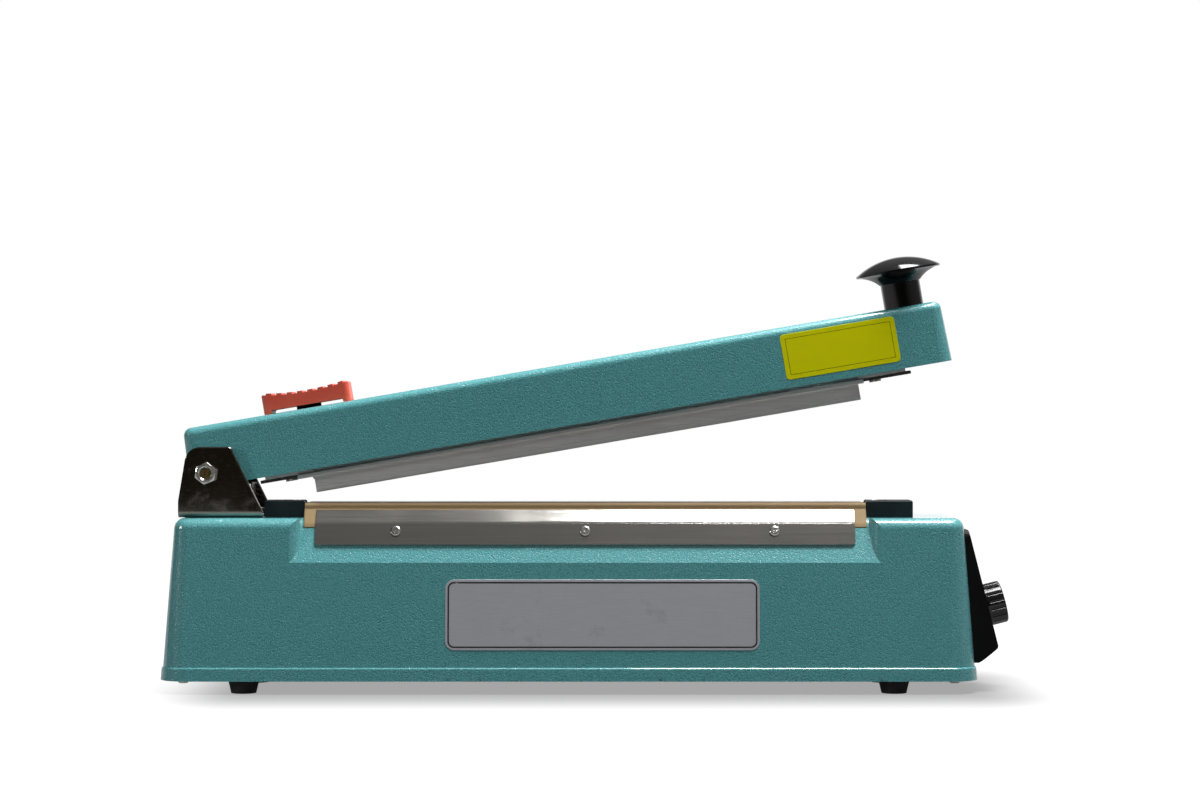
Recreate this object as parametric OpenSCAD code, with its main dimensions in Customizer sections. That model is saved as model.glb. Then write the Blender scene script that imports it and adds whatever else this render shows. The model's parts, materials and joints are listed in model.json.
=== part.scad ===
// Tabletop impulse heat sealer with a cutter that slides along its press arm.
// Millimetres, +Z up. The origin is on the table under the middle of the seal.
// The hinge is at -X, the handle at +X, and the user sits at -Y. The arm is drawn open.

/* [Seal] */
// Length of the seal
seal_l = 300; // [250:10:360]
// Distance of the seal line in front of the cutting line
seal_y = 9; // [8:0.5:11]
// Width of the heating ribbon
ribbon_w = 3; // [2:0.5:4]
// Thickness of the heating ribbon
ribbon_t = 0.2; // [0.1:0.05:0.4]
// Length of ribbon held in each terminal block
ribbon_tail = 10; // [8:1:12]
// Width of the insulating strip under the ribbon
insulation_w = 10; // [8:0.5:11]
// Thickness of the insulating strip
insulation_t = 0.8; // [0.5:0.1:1.2]

/* [Base housing] */
// Housing past the hinge end of the seal
base_tail = 87.8; // [84:0.2:110]
// Housing past the handle end of the seal
base_nose = 69.6; // [64:0.2:90]
// Width over the rim
base_w = 84; // [80:1:100]
// Height of the deck above the table
deck_z = 97.5; // [94:0.5:112]
// Height of the rim band
rim_h = 7.6; // [5:0.2:9]
// Rim standing out past the foot of the walls
rim_lip = 0.8; // [0.5:0.1:2]
// Rounding on the upper edge of the rim
rim_edge_r = 1.2; // [0.5:0.1:2]
// Draft of the walls in degrees
base_draft = 4.45; // [3:0.05:5.5]
// Corner radius of the housing at the deck
base_corner_r = 8; // [7.5:0.5:14]
// Rounding along the top edges
base_edge_r = 6; // [4:0.5:7]
// Wall thickness of the casting
base_wall = 3; // [2.5:0.25:3.5]
// Width of the solid posts in the corners
post_w = 20; // [19:0.5:24]
// Distance of the bottom plate's screws from the rim ends and sides
post_inset = 13; // [12:0.5:14]

/* [Ledges] */
// Recess past each end of the seal
recess_margin = 9.3; // [7:0.1:10.5]
// Rounding of the end blocks beside the recess
recess_edge_r = 7.5; // [5:0.5:9]
// Drop from the deck to the front edge of the ledge
ledge_drop = 24.6; // [22:0.2:32]
// Flat deck left beside the bars
deck_flat = 0.3; // [0.2:0.1:0.8]
// Rounding between ledge and deck
ledge_edge_r = 7; // [5:0.5:8]

/* [Bottom and feet] */
// Thickness of the bottom plate
plate_t = 1.5; // [1:0.1:2]
// Inset of the bottom plate from the rim
plate_inset = 2.2; // [1.8:0.1:3]
// Corner radius of the bottom plate
plate_corner_r = 12; // [8:0.5:14]
// Height of the feet
foot_h = 7.25; // [6:0.25:9]
// Diameter of a foot at its top
foot_top_d = 17.5; // [15:0.5:20]
// Diameter of a foot on the table
foot_low_d = 14; // [12:0.5:15]
// Distance of the feet from the ends of the rim
foot_end = 47; // [40:1:60]
// Distance of the feet from the sides of the rim
foot_side = 11.5; // [11:0.5:16]
// Length of a vent slot
vent_l = 30; // [20:1:40]
// Width of a vent slot
vent_w = 3; // [2:0.25:4]
// Pitch of the vent slots
vent_pitch = 8; // [6:0.5:10]
// Slots in each vent group
vent_count = 5; // [3:1:7]
// Distance of each vent group from the middle of the seal
vent_x = 95; // [80:1:105]

/* [Sealing bars] */
// Bar past each end of the seal
bar_margin = 7.8; // [4:0.1:8.5]
// Width over both bars
bar_w = 40; // [36:1:42]
// Height of the bars
bar_h = 7.8; // [6.5:0.1:9]
// Rounding along the outer top edges of the bars
bar_edge_r = 1.5; // [1:0.25:2.5]
// Gap between the bars, in which the blade runs
bar_gap = 3; // [2:0.25:4]
// Pitch of the screws under the bars
bar_screw_pitch = 130; // [100:5:140]
// Length of thread in a bar
bar_screw_bite = 5; // [3:0.5:5.5]

/* [Cover and retainer] */
// Thickness of the PTFE cover
cover_t = 0.3; // [0.2:0.05:0.5]
// Bare bar between the cover and the blade gap
cover_back = 1; // [0.5:0.1:2]
// Height above the deck at which the cover leaves the bar
flare_rise = 4.8; // [3.3:0.1:5.2]
// Drop of the cover's lower edge below the deck
cover_drop = 5.3; // [5:0.1:7]
// Thickness of the retainer strip
retainer_t = 1; // [0.6:0.1:1.5]
// How far the retainer strip runs past the seal at each end
retainer_over = 1; // [0:0.25:2]
// Height of the retainer above the deck
retainer_rise = 4.4; // [2.5:0.1:4.6]
// Drop of the retainer's lower edge below the deck
retainer_drop = 14.6; // [13:0.1:20]
// Corner radius of the retainer
retainer_corner_r = 2; // [1:0.25:3]
// Pitch of the retainer screws
retainer_pitch = 106; // [90:1:115]
// Drop of the retainer screws below the deck
retainer_screw_drop = 7.5; // [7:0.1:11]

/* [Terminal blocks] */
// Length of the block at the handle end
block_l = 26.5; // [22:0.5:32]
// Distance of the terminal blocks' front faces from the middle
block_front = 18; // [15:0.5:21]
// Distance of the terminal blocks' rear faces in front of the middle
block_back = 3; // [2:0.5:4]
// Height of a block
block_h = 9.5; // [9:0.1:10.4]
// Rounding on the edges of a block
block_edge_r = 1.2; // [0.5:0.1:2]
// Gap between a block and its neighbours
block_gap = 0.3; // [0.2:0.05:0.6]
// Width of the ribbon's notch in a block
notch_w = 8; // [7:0.5:10]
// Length of the ribbon's notch in a block
notch_l = 13; // [12.5:0.5:15]

/* [Hinge] */
// Pivot past the hinge end of the seal
pivot_reach = 62.8; // [60:0.1:66]
// Height of the pivot above the deck
pivot_rise = 25; // [23:0.1:26]
// Diameter of the pivot bolt
pivot_d = 6.35; // [5:0.05:7]
// Width of the pivot nut across its flats
pivot_flats = 11; // [10:0.5:13]
// Height of the pivot nut
pivot_nut_h = 5; // [4:0.25:6]
// Thickness of the pivot washers
washer_t = 1; // [0.8:0.1:1.5]
// Outer diameter of the pivot washers
washer_d = 14; // [12.5:0.5:16]
// Outer diameter of the pivot bush
bush_d = 10; // [9:0.25:12]
// Plate thickness of the hinge bracket
bracket_t = 2; // [1.5:0.1:2.5]
// Outer bend radius of the bracket
bracket_bend_r = 3; // [2.6:0.1:4]
// Bracket from the pivot to its tail end
bracket_tail = 15.9; // [15:0.1:17]
// Bracket from the pivot to its nose end
bracket_nose = 31.7; // [29:0.1:33]
// Height of the ears above the pivot
ear_rise = 14.7; // [12:0.1:17]
// Length of the ears' upper edge in front of the pivot
ear_top = 13.6; // [11:0.1:16]
// Rounding of the ears above the tail
ear_round_r = 9; // [6:0.5:11]
// Height of the lip at the tail of the bracket
lip_h = 9.3; // [6:0.1:11]
// Room between arm and ears on each side
ear_gap = 1.2; // [1.1:0.1:2]

/* [Arm] */
// Angle of the open arm in degrees
open_angle = 9.65; // [8:0.05:12]
// Arm past the pivot at its tail
arm_tail = 11.7; // [9:0.1:13]
// Arm past the handle end of the seal
arm_nose = 62; // [54:0.1:70]
// Width of the arm at its open side
arm_w = 40; // [38:0.5:46]
// Height of the arm
arm_h = 34.5; // [32:0.5:40]
// Open side of the arm below the pivot
arm_drop = 7.8; // [7:0.1:8.4]
// Draft of the arm's walls in degrees
arm_draft = 2.2; // [1:0.1:3]
// Corner radius of the arm at its top
arm_corner_r = 6; // [5.5:0.25:9]
// Rounding along the arm's top edges
arm_edge_r = 4.5; // [3.5:0.25:5]
// Wall thickness of the arm
arm_wall = 2.5; // [2:0.1:3]
// Thickness of the web that presses the switch rod
web_t = 3; // [2:0.25:4]

/* [Press bar] */
// Rise of the press bar in the arm when it closes
float_rise = 4.7; // [4.4:0.1:5.2]
// Gap left between pad and cover when closed
close_gap = 0.3; // [0.2:0.05:0.5]
// Gap between the arm and the hanger plates
hanger_gap = 1.7; // [1.3:0.1:1.9]
// Thickness of the hanger plates
hanger_t = 1.8; // [1.5:0.1:2]
// Width of the hanger plates
hanger_w = 27; // [26:0.5:30]
// Gap between the arm's web and the hanger plate
hanger_clear = 6; // [6:0.1:9]
// Hanger plate past the handle end of the seal
hanger_nose = 37.9; // [30:0.1:40]
// Shift of the press rails towards the handle
press_shift = 1.5; // [0:0.25:2.5]
// Flange of the rails past each end of the seal
flange_margin = 12; // [11:0.25:12.5]
// Web of the rails past each end of the seal
web_margin = 6; // [4:0.25:7]
// Pads past each end of the seal
pad_margin = 6; // [2:0.25:7]
// Width over the flanges
flange_w = 31; // [28:0.5:32]
// Thickness of a flange
flange_t = 2.7; // [2:0.1:3.2]
// Height of the lip that stands up inside the arm
rail_lip_h = 4; // [3:0.25:5]
// Thickness of that lip
rail_lip_t = 2; // [1.5:0.25:2.5]
// Width over the webs
rail_w = 25; // [22:0.5:27]
// Width over the pads
pad_w = 26; // [23:0.5:28]
// Height of the silicone pads
pad_t = 3.2; // [2.5:0.1:4]
// Width of the tongue on a pad
pad_tongue_w = 5; // [4:0.25:6]
// Height of the tongue on a pad
pad_tongue_h = 2; // [1:0.25:2.5]
// Gap between the rails, in which the blade runs
blade_gap = 3.2; // [2.5:0.1:4]
// Thickness of the tongues above the hanger plates
tongue_t = 3; // [2:0.25:4]
// Guide bolts past each end of the seal
guide_out = 18.5; // [17.8:0.1:19.5]
// Shank diameter of a guide bolt
guide_d = 5; // [4:0.25:5.5]
// Head diameter of a guide bolt
guide_head_d = 7; // [6.5:0.25:7.5]
// Head height of a guide bolt
guide_head_h = 1.2; // [1:0.1:2.2]
// Length of the bosses under the arm's roof
guide_boss_h = 4.5; // [3:0.25:6]

/* [Springs] */
// Wire diameter of the guide springs
guide_wire = 1.1; // [0.8:0.1:1.3]
// Mean diameter of the guide springs
guide_coil_d = 7.6; // [7.2:0.1:8]
// Curls of a guide spring
guide_curls = 8; // [6:1:9]
// Wire diameter of the return spring
return_wire = 1.3; // [1:0.1:1.4]
// Mean diameter of the return spring
return_coil_d = 8; // [7.4:0.1:8.5]
// Curls of the return spring
return_curls = 5; // [4:1:6]

/* [Cutter] */
// Cutter's parking place behind the start of the seal
park_back = 1.9; // [1:0.1:2.5]
// Length of the thumb slider
slider_l = 50; // [44:1:52]
// Width of the thumb slider
slider_w = 22; // [18:1:26]
// Height of the slider's ends above its underside
slider_h = 9.5; // [8:0.25:12]
// Height of the slider's underside above the arm
slider_rise = 2; // [1.5:0.1:3]
// Hollow of the slider's top in its middle
slider_hollow = 2.2; // [1.5:0.1:3]
// Length of the slider's end feet
slider_foot = 4.5; // [3:0.25:6]
// Corner radius of the slider in plan
slider_corner_r = 3; // [1.5:0.25:4]
// Ribs across the slider
rib_count = 8; // [6:1:8]
// Pitch of the ribs
rib_pitch = 5.9; // [5:0.1:6]
// Width of a rib
rib_w = 3; // [2:0.1:3.5]
// Height of a rib
rib_h = 1; // [0.6:0.1:1.4]
// Length of the carrier in the slot
carrier_l = 14; // [13:0.5:15]
// Thickness of the carrier
carrier_t = 2.4; // [2:0.1:2.6]
// Width of the shoe that keeps the carrier under the roof
shoe_w = 6.6; // [5:0.2:6.8]
// Thickness of the shoe
shoe_t = 3; // [2:0.25:4]
// Reach of the carrier below the pivot line
carrier_drop = 3; // [1:0.25:4]
// Room beside the carrier in the slot
slot_gap = 0.5; // [0.3:0.05:0.7]
// Width of the blade
blade_w = 9.4; // [8:0.2:10]
// Thickness of the blade
blade_t = 0.6; // [0.4:0.05:0.8]
// Length of the blade's double point
blade_point = 7.2; // [5:0.2:8]
// Depth of the blade's tip below the pivot line
blade_reach = 20; // [18.5:0.1:20.5]
// Top of the blade above the pivot line
blade_top = 7; // [6:0.25:9]
// Height of the blade screw above the pivot line
blade_screw_n = 2.5; // [2:0.25:4]

/* [Knob] */
// Distance of the knob from the handle end of the arm
knob_back = 20.3; // [18:0.1:24]
// Radius of the knob's stem
knob_stem_r = 11.2; // [9:0.1:12.5]
// Radius of the knob's rim
knob_rim_r = 24; // [20:0.25:26]
// Height of the rim above the arm
knob_rim_h = 19.9; // [17:0.1:24]
// Thickness of the rim's edge
knob_rim_t = 1.2; // [0.8:0.1:2]
// Height of the crown above the rim
knob_crown_h = 7.4; // [5:0.1:10]
// Radius of the hollow under the cap
knob_flare_r = 17.8; // [16:0.1:20]
// Diameter of the knob screw
knob_screw_d = 6; // [5:0.25:8]
// Length of the knob screw inside the knob
knob_screw_bite = 14; // [8:0.5:15]

/* [Timer] */
// Drop of the control housing's top below the deck
panel_top_drop = 6.7; // [6:0.1:12]
// Thickness of the control housing at its top
panel_top_t = 2.8; // [2.5:0.1:4]
// Lean of the control panel from vertical in degrees
panel_lean = 14.3; // [12:0.1:16]
// Height of the panel's lower corner above the table
panel_low = 24.7; // [23:0.1:28]
// Height of the control housing's lower edge above the table
panel_foot = 15.7; // [15.5:0.1:18]
// Depth of the control housing at its lower edge
panel_foot_t = 3; // [2.6:0.1:5]
// Width of the control housing
panel_w = 52; // [50:1:60]
// Corner radius of the control housing
panel_corner_r = 5; // [3:0.5:8]
// Wall thickness of the control housing
panel_wall = 2.2; // [1.6:0.1:2.5]
// Height of the timer knob's centre above the table
timer_z = 46.2; // [46:0.1:54]
// Diameter of the timer knob
timer_d = 24; // [20:0.5:28]
// Length of the timer knob
timer_h = 11.5; // [8:0.25:12]
// Rounding on the face of the timer knob
timer_edge_r = 1.2; // [0.5:0.1:2]
// Grip flutes around the timer knob
timer_flutes = 18; // [12:1:24]
// Gap under the timer knob
timer_gap = 0.4; // [0.3:0.05:1]
// Diameter of the timer's shaft
timer_shaft_d = 6; // [4:0.25:6.5]
// Diameter of the potentiometer's body
pot_d = 16; // [14:0.5:18]
// Depth of the potentiometer's body
pot_h = 7; // [6:0.25:8]
// Outer diameter of the potentiometer's neck
pot_neck_d = 8; // [7.4:0.1:9]
// Length of the potentiometer's neck past the panel
pot_neck_h = 3.6; // [3:0.1:4]
// Height of the signal lamp above the timer knob's centre
lamp_up = 24; // [20:0.5:26]
// Diameter of the signal lamp
lamp_d = 6; // [4:0.25:7]
// Signal lamp standing proud of the panel
lamp_proud = 0.4; // [0.2:0.1:1]

/* [Inside] */
// Middle of the transformer along the seal
transformer_x = -20; // [-40:1:20]
// Length of the transformer's core
core_l = 57; // [50:1:66]
// Height of the transformer's core
core_h = 48; // [42:1:56]
// Stack thickness of the transformer's core
core_w = 28; // [22:1:34]
// Width of the core's limbs
limb_w = 9.5; // [8:0.25:11]
// Overhang of the winding on each side of the core
winding_out = 10; // [6:0.5:12]
// Gap between winding and core
winding_gap = 0.3; // [0.2:0.05:0.6]
// Thickness of the transformer's strap
strap_t = 1.2; // [0.8:0.1:2]
// Length of each foot of the strap
strap_foot = 12; // [10:0.5:16]
// Travel axis of the switch rod in front of the pivot
rod_u = 17; // [16:0.25:20]
// Diameter of the switch rod
rod_d = 5; // [4:0.25:5.5]
// Diameter of the rod's head
rod_head_d = 10; // [9.5:0.25:11]
// Radius of the rod's crown
rod_crown_r = 10; // [8:0.5:14]
// Thickness of the rod's head
rod_head_h = 2.6; // [2.2:0.1:4]
// Gap at the two ends of the rod
rod_gap = 0.3; // [0.2:0.05:0.5]
// Length of the micro switch
switch_l = 28; // [26:0.5:30]
// Width of the micro switch
switch_w = 10; // [8:0.5:11]
// Height of the micro switch
switch_h = 16; // [14:0.5:18]
// Drop of the micro switch's top below the deck
switch_drop = 19; // [17:0.5:24]
// Lift of the open switch lever in degrees
lever_angle = 19; // [18:0.25:20]
// Thickness of the switch lever
lever_t = 0.8; // [0.5:0.1:1]
// Diameter of the switch lever's pin
lever_pin_d = 1.4; // [1:0.1:1.6]
// Place of the cord grommet along the seal
cord_x = 120; // [90:1:140]
// Height of the cord grommet above the table
cord_z = 30; // [26:0.5:40]
// Bore of the cord grommet
cord_d = 8; // [6:0.25:10]

/* [Fasteners and fits] */
// Diameter of the small screws
screw_d = 3; // [2.5:0.1:3.5]
// Head diameter of the small screws
screw_head_d = 5.9; // [5.5:0.1:6.5]
// Head height of the small screws
screw_head_h = 2; // [1.5:0.1:2.4]
// Gap around a fixed screw
fit_gap = 0.05; // [0.02:0.01:0.08]
// Gap around a turning or sliding shaft
run_gap = 0.07; // [0.04:0.01:0.1]

/* [Hidden] */
$fn = 64;

paint = [0.16, 0.40, 0.42];
steel = [0.72, 0.72, 0.70];
dark_steel = [0.22, 0.21, 0.20];
alloy = [0.66, 0.66, 0.65];
black = [0.06, 0.06, 0.06];
rubber = [0.10, 0.10, 0.10];
corner_steps = 6;
edge_steps = 8;
plate_screw_bite = 12;
bracket_screw_d = 4;
grommet_neck_d = cord_d + 4;
grommet_lip = 1.8;
terminal_bite = 5;
panel_boss_l = 8;
window_rise = 7;
bracket_screw_in = 7;
bracket_screw_nose = 5;
blade_pin_d = 2.5;
cut = 1;

// Housing
base_l = seal_l + base_tail + base_nose;
base_x = (base_nose - base_tail) / 2;
body_l = base_l - 2 * rim_lip;
body_w = base_w - 2 * rim_lip;
body_h = deck_z - foot_h;
roof_z = deck_z - base_wall;
floor_z = foot_h + plate_t;
recess_l = seal_l + 2 * recess_margin;
ledge_z = deck_z - ledge_drop;
ledge_half = side_half(ledge_z);
ledge_cy = bar_w / 2 + deck_flat;
ledge_run = [ledge_half - ledge_cy, ledge_drop - ledge_edge_r];
ledge_lean = acos(ledge_edge_r / norm(ledge_run)) - atan2(ledge_run[1], ledge_run[0]);
rim_corner_r = rim_lip + base_corner_r + body_h * tan(base_draft);
foot_x = base_l / 2 - foot_end;
foot_y = base_w / 2 - foot_side;

// Bars and blocks
bar_l = seal_l + 2 * bar_margin;
bar_top = deck_z + bar_h;
block_x = bar_l / 2 + block_gap;
hinge_block_l = pivot_reach - bracket_nose - bar_margin - 2 * block_gap;

// Hinge and arm
pivot_x = -(seal_l / 2 + pivot_reach);
pivot_z = deck_z + pivot_rise;
ear_in = arm_w / 2 + ear_gap;
ear_out = ear_in + bracket_t;
nut_mouth = 0.8;
nut_turn = 22;
arm_end = pivot_reach + seal_l + arm_nose;
arm_top = arm_h - arm_drop;
arm_roof = arm_top - arm_wall;
seal_end = pivot_reach + seal_l;
knob_u = arm_end - knob_back;
cutter_u = pivot_reach - park_back;
guide_u = [pivot_reach - guide_out, seal_end + guide_out];
guide_seat = arm_roof - guide_boss_h;

// Press bar, as depths below the pivot line in the arm's own frame
hanger_top = -(arm_drop + hanger_gap);
hanger_low = hanger_top - hanger_t;
flange_low = hanger_top - flange_t;
pad_low = -(pivot_rise - bar_h - cover_t - close_gap + float_rise);
pad_top = pad_low + pad_t;
flange_u = [pivot_reach - flange_margin - press_shift, seal_end + flange_margin - press_shift];
web_u = [pivot_reach - web_margin + press_shift, seal_end + web_margin + press_shift];
pad_u = [pivot_reach - pad_margin + press_shift, seal_end + pad_margin + press_shift];
web_u_span = [rod_u - rod_head_d, rod_u + rod_head_d / 2];
hanger_u = [web_u_span[1] + hanger_clear, seal_end + hanger_nose];
tongue_in = guide_coil_d / 2 + guide_wire;
tongue_y = (tongue_in + hanger_w / 2) / 2;
tongue_end = screw_head_d / 2;
rail_screw_u = [hanger_u[0] + screw_head_d, hanger_u[1] - screw_head_d];
pad_mid = (blade_gap + pad_w) / 4;
pad_edge_r = 0.8;

// Control housing and timer
panel_top = deck_z - panel_top_drop;
panel_top_x = handle_wall(panel_top) + panel_top_t;
panel_low_x = panel_top_x + (panel_top - panel_low) * tan(panel_lean);
window_w = panel_w - 4 * panel_wall;
window_z = [panel_low + window_rise, panel_top - 2 * window_rise];
panel_screw_z = panel_low + 2;
panel_screw_y = base_w / 2 - post_w - screw_head_d;
timer_x = panel_low_x - (timer_z - panel_low) * tan(panel_lean);
knob_far_x = timer_x + (timer_gap + timer_h - timer_edge_r) * cos(panel_lean)
    + (timer_d / 2 - timer_edge_r) * sin(panel_lean) + timer_edge_r;
stand_x = (seal_l / 2 + base_tail - knob_far_x) / 2;
board_t = 1.6;
shaft_low = -panel_wall - pot_h + 2;
board_margin = 2;
board_low = 13;
relay_h = 15;
capacitor_d = 8;

// Switch rod: its crown stays a set gap under the arm's web, open and closed
rod_x = pivot_x + rod_u;
web_open_z = pivot_z + rod_u * tan(open_angle) - arm_drop / cos(open_angle);
rod_top = web_open_z - (rod_crown_r + rod_gap) / cos(open_angle) + rod_crown_r;
rod_travel = rod_top + rod_gap - (pivot_z - arm_drop);
bracket_floor_z = deck_z + bracket_t;
rod_seat = rod_top - rod_head_h;
switch_top = deck_z - switch_drop;
switch_x = [rod_x - 0.57 * switch_l, rod_x + 0.43 * switch_l];
lever_eye_r = lever_pin_d / 2 + run_gap + lever_t;
lever_pin_x = switch_x[0] + switch_l / 7;
lever_pin_z = switch_top + lever_eye_r + rod_gap;
lever_arm = rod_x - lever_pin_x + rod_d / 2;
rod_low = lever_pin_z + lever_arm * tan(lever_angle) + lever_t / cos(lever_angle) + rod_gap;
switch_plate_t = 1.5;

function side_half(z) = body_w / 2 - (z - foot_h) * tan(base_draft);
function handle_wall(z) = base_x + body_l / 2 - (z - foot_h) * tan(base_draft);
function unit(v) = v / norm(v);
function reverse(list) = [for (i = [len(list) - 1:-1:0]) list[i]];
function short_turn(a) = a > 180 ? a - 360 : a < -180 ? a + 360 : a;
function arc(c, r, from, to, steps = corner_steps) =
    [for (i = [0:steps]) let (a = from + (to - from) * i / steps) c + r * [cos(a), sin(a)]];

// Points of a closed outline whose corners are rounded by the given radii
function rounded(points, radii) =
    let (n = len(points))
    [for (i = [0:n - 1])
        each round_corner(points[(i + n - 1) % n], points[i], points[(i + 1) % n], radii[i])];
function box_points(x, z) = [[x[0], z[0]], [x[1], z[0]], [x[1], z[1]], [x[0], z[1]]];

function round_corner(before, p, after, r) = r == 0 ? [p] :
    let (
        u = unit(before - p),
        v = unit(after - p),
        half = acos(u * v) / 2,
        c = p + unit(u + v) * r / sin(half),
        start = p + u * r / tan(half) - c,
        stop = p + v * r / tan(half) - c,
        from = atan2(start[1], start[0]),
        sweep = short_turn(atan2(stop[1], stop[0]) - from)
    ) arc(c, r, from, from + sweep);

// Right side of an upright section: its foot, its leaning wall and its rounded upper corner
function drafted_side(half, h, lean, edge_r) =
    let (cx = half - (h - edge_r) * tan(lean) - edge_r / cos(lean))
    concat([[half, 0]], arc([cx, h - edge_r], edge_r, lean, 90, edge_steps));
function both_sides(right) = concat(right, reverse([for (p = right) [-p[0], p[1]]]));
function without_first(list) = [for (i = [1:len(list) - 1]) list[i]];

// Place on the front ledge, as [y, z], at a height and a distance off the ledge
function ledge_point(z, off) =
    let (up = (z - ledge_z - off * sin(ledge_lean)) / cos(ledge_lean))
    [-ledge_half - off * cos(ledge_lean) + up * sin(ledge_lean), z];

// Section of a sheet from the bar's front face, over the rounding, down the ledge
function ledge_path(off, top_z, low_z) =
    let (
        start = [-(bar_w / 2 + off), deck_z + flare_rise],
        c = [-ledge_cy, deck_z - ledge_edge_r],
        r = ledge_edge_r + off,
        from = atan2(start[1] - c[1], start[0] - c[0]) + acos(r / norm(start - c)),
        turn = 180 - ledge_lean - from,
        bend = arc(c, r / cos(turn / corner_steps / 2), from, from + turn),
        share = (start[1] - top_z) / (start[1] - bend[0][1])
    )
    concat([start + share * (bend[0] - start)], bend, [ledge_point(low_z, off)]);

function cover_path(off) = concat(
    [[-(bar_gap / 2 + cover_back), bar_top + off]],
    arc([-(bar_w / 2 - bar_edge_r), bar_top - bar_edge_r], bar_edge_r + off, 90, 180),
    ledge_path(off, deck_z + flare_rise, deck_z - cover_drop));

function retainer_path(off) = ledge_path(off, deck_z + retainer_rise, deck_z - retainer_drop);

// Extrusions of a drawing along the length, the depth and in the arm's frame
module along_x(l) { rotate([90, 0, 90]) linear_extrude(l, center = true) children(); }
module along_y(w) { rotate([90, 0, 0]) linear_extrude(w, center = true) children(); }
module on_arm() { translate([pivot_x, 0, pivot_z]) rotate([0, -open_angle, 0]) children(); }
module span(u, y, n) { translate([u[0], y[0], n[0]]) cube([u[1] - u[0], y[1] - y[0], n[1] - n[0]]); }
module stand() { translate([stand_x, 0, 0]) children(); }
module mirrored_y() { for (s = [0, 1]) mirror([0, s, 0]) children(); }
module corners(x, y) { for (i = [-1, 1], j = [-1, 1]) translate([i * x, j * y, 0]) children(); }
module on_ledge(x, z, off) {
    translate([x, ledge_point(z, off)[0], z]) rotate([90 - ledge_lean, 0, 0]) children();
}
module on_rear_wall(x, z) {
    translate([x, side_half(z), z]) rotate([base_draft - 90, 0, 0]) children();
}
module on_panel(up = 0) {
    translate([timer_x, 0, timer_z])
        rotate([0, 90 - panel_lean, 0]) translate([-up, 0, 0]) children();
}

// Upright section with leaning sides and rounded upper corners
module drafted_profile(half, h, lean, edge_r) { polygon(both_sides(drafted_side(half, h, lean, edge_r))); }

// Cast block: the drawing, taken at half the length and half the width, makes its walls and corners
module cast_block(l, w, r) {
    along_y(w - 2 * r) let ($half = l / 2) children();
    along_x(l - 2 * r) let ($half = w / 2) children();
    for (i = [0:3]) rotate(90 * i) translate(i % 2 == 0 ? [l / 2 - r, w / 2 - r] : [w / 2 - r, l / 2 - r])
        rotate_extrude(angle = 90) intersection() {
            let ($half = r) children();
            square([r, 2 * deck_z]);
        }
}

// Hollow of a casting with leaning walls and bevelled upper edges
module cast_hollow(l, w, h, lean, bevel) {
    intersection() {
        along_y(2 * w) hollow_outline(l / 2, h, lean, bevel);
        along_x(2 * l) hollow_outline(w / 2, h, lean, bevel);
    }
}
module hollow_outline(half, h, lean, bevel) {
    foot = half + cut * tan(lean);
    side = half - (h - bevel) * tan(lean);
    top = half - h * tan(lean) - bevel;
    polygon(both_sides([[foot, -cut], [side, h - bevel], [top, h]]));
}

// Plate with rounded corners
module rounded_plate(l, w, r, t) {
    linear_extrude(t) polygon(rounded(box_points([-l / 2, l / 2], [-w / 2, w / 2]), [r, r, r, r]));
}

// Pan-head screw along its own axis, head on top of z = 0
module pan_screw(shank, d = screw_d, head_d = screw_head_d, head_h = screw_head_h) {
    translate([0, 0, -shank]) cylinder(shank, d = d);
    difference() {
        rotate_extrude() polygon(concat(
            [[0, 0], [head_d / 2, 0]],
            arc([head_d / 2 - head_h / 2, head_h / 2], head_h / 2, 0, 90),
            [[0, head_h]]));
        for (turn = [0, 90]) rotate(turn) translate([0, 0, head_h])
            cube([0.55 * head_d, 0.14 * head_d, head_h], center = true);
    }
}

module hole(d, l) { translate([0, 0, -l / 2]) cylinder(l, d = d + 2 * fit_gap); }

// Spring wire: an upright helix of n curls from z = 0 to h, with straight ends one wire long
function helix(r, wire, h, n, rings = 8) = concat(
    [[0, 0]],
    [for (i = [0:n * rings]) [360 * i / rings, wire + (h - 2 * wire) * i / (n * rings)]],
    [[360 * n, h]]);
function helix_point(r, p) = [r * cos(p[0]), r * sin(p[0]), p[1]];
function helix_gap(r, wire, path, apart = 6) = min([
    for (i = [0:len(path) - 1 - apart]) for (j = [i + apart:len(path) - 1])
        norm(helix_point(r, path[i]) - helix_point(r, path[j]))
]) - wire;

module spring(d, wire, h, n, sides = 6) {
    path = helix(d / 2, wire, h, n);
    last = len(path) - 1;
    centre = [for (p = path) helix_point(d / 2, p)];
    rings = [for (k = [0:last])
        let (
            along = k == 0 || k == last ? [0, 0, 1] : unit(centre[k + 1] - centre[k - 1]),
            out = [cos(path[k][0]), sin(path[k][0]), 0],
            across = cross(along, out)
        )
        for (i = [0:sides - 1])
            centre[k] + wire / 2 * (out * cos(360 * i / sides) + across * sin(360 * i / sides))];
    skin = [for (k = [0:last - 1]) for (i = [0:sides - 1])
        let (a = k * sides + i, b = k * sides + (i + 1) % sides)
        each [[a, a + sides, b], [b, a + sides, b + sides]]];
    lid = [for (i = [1:sides - 2]) each [
        [0, i, i + 1],
        [last * sides, last * sides + i + 1, last * sides + i]]];
    echo(least_spring_gap = helix_gap(d / 2, wire, path));
    polyhedron(rings, concat(skin, lid));
}

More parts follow.
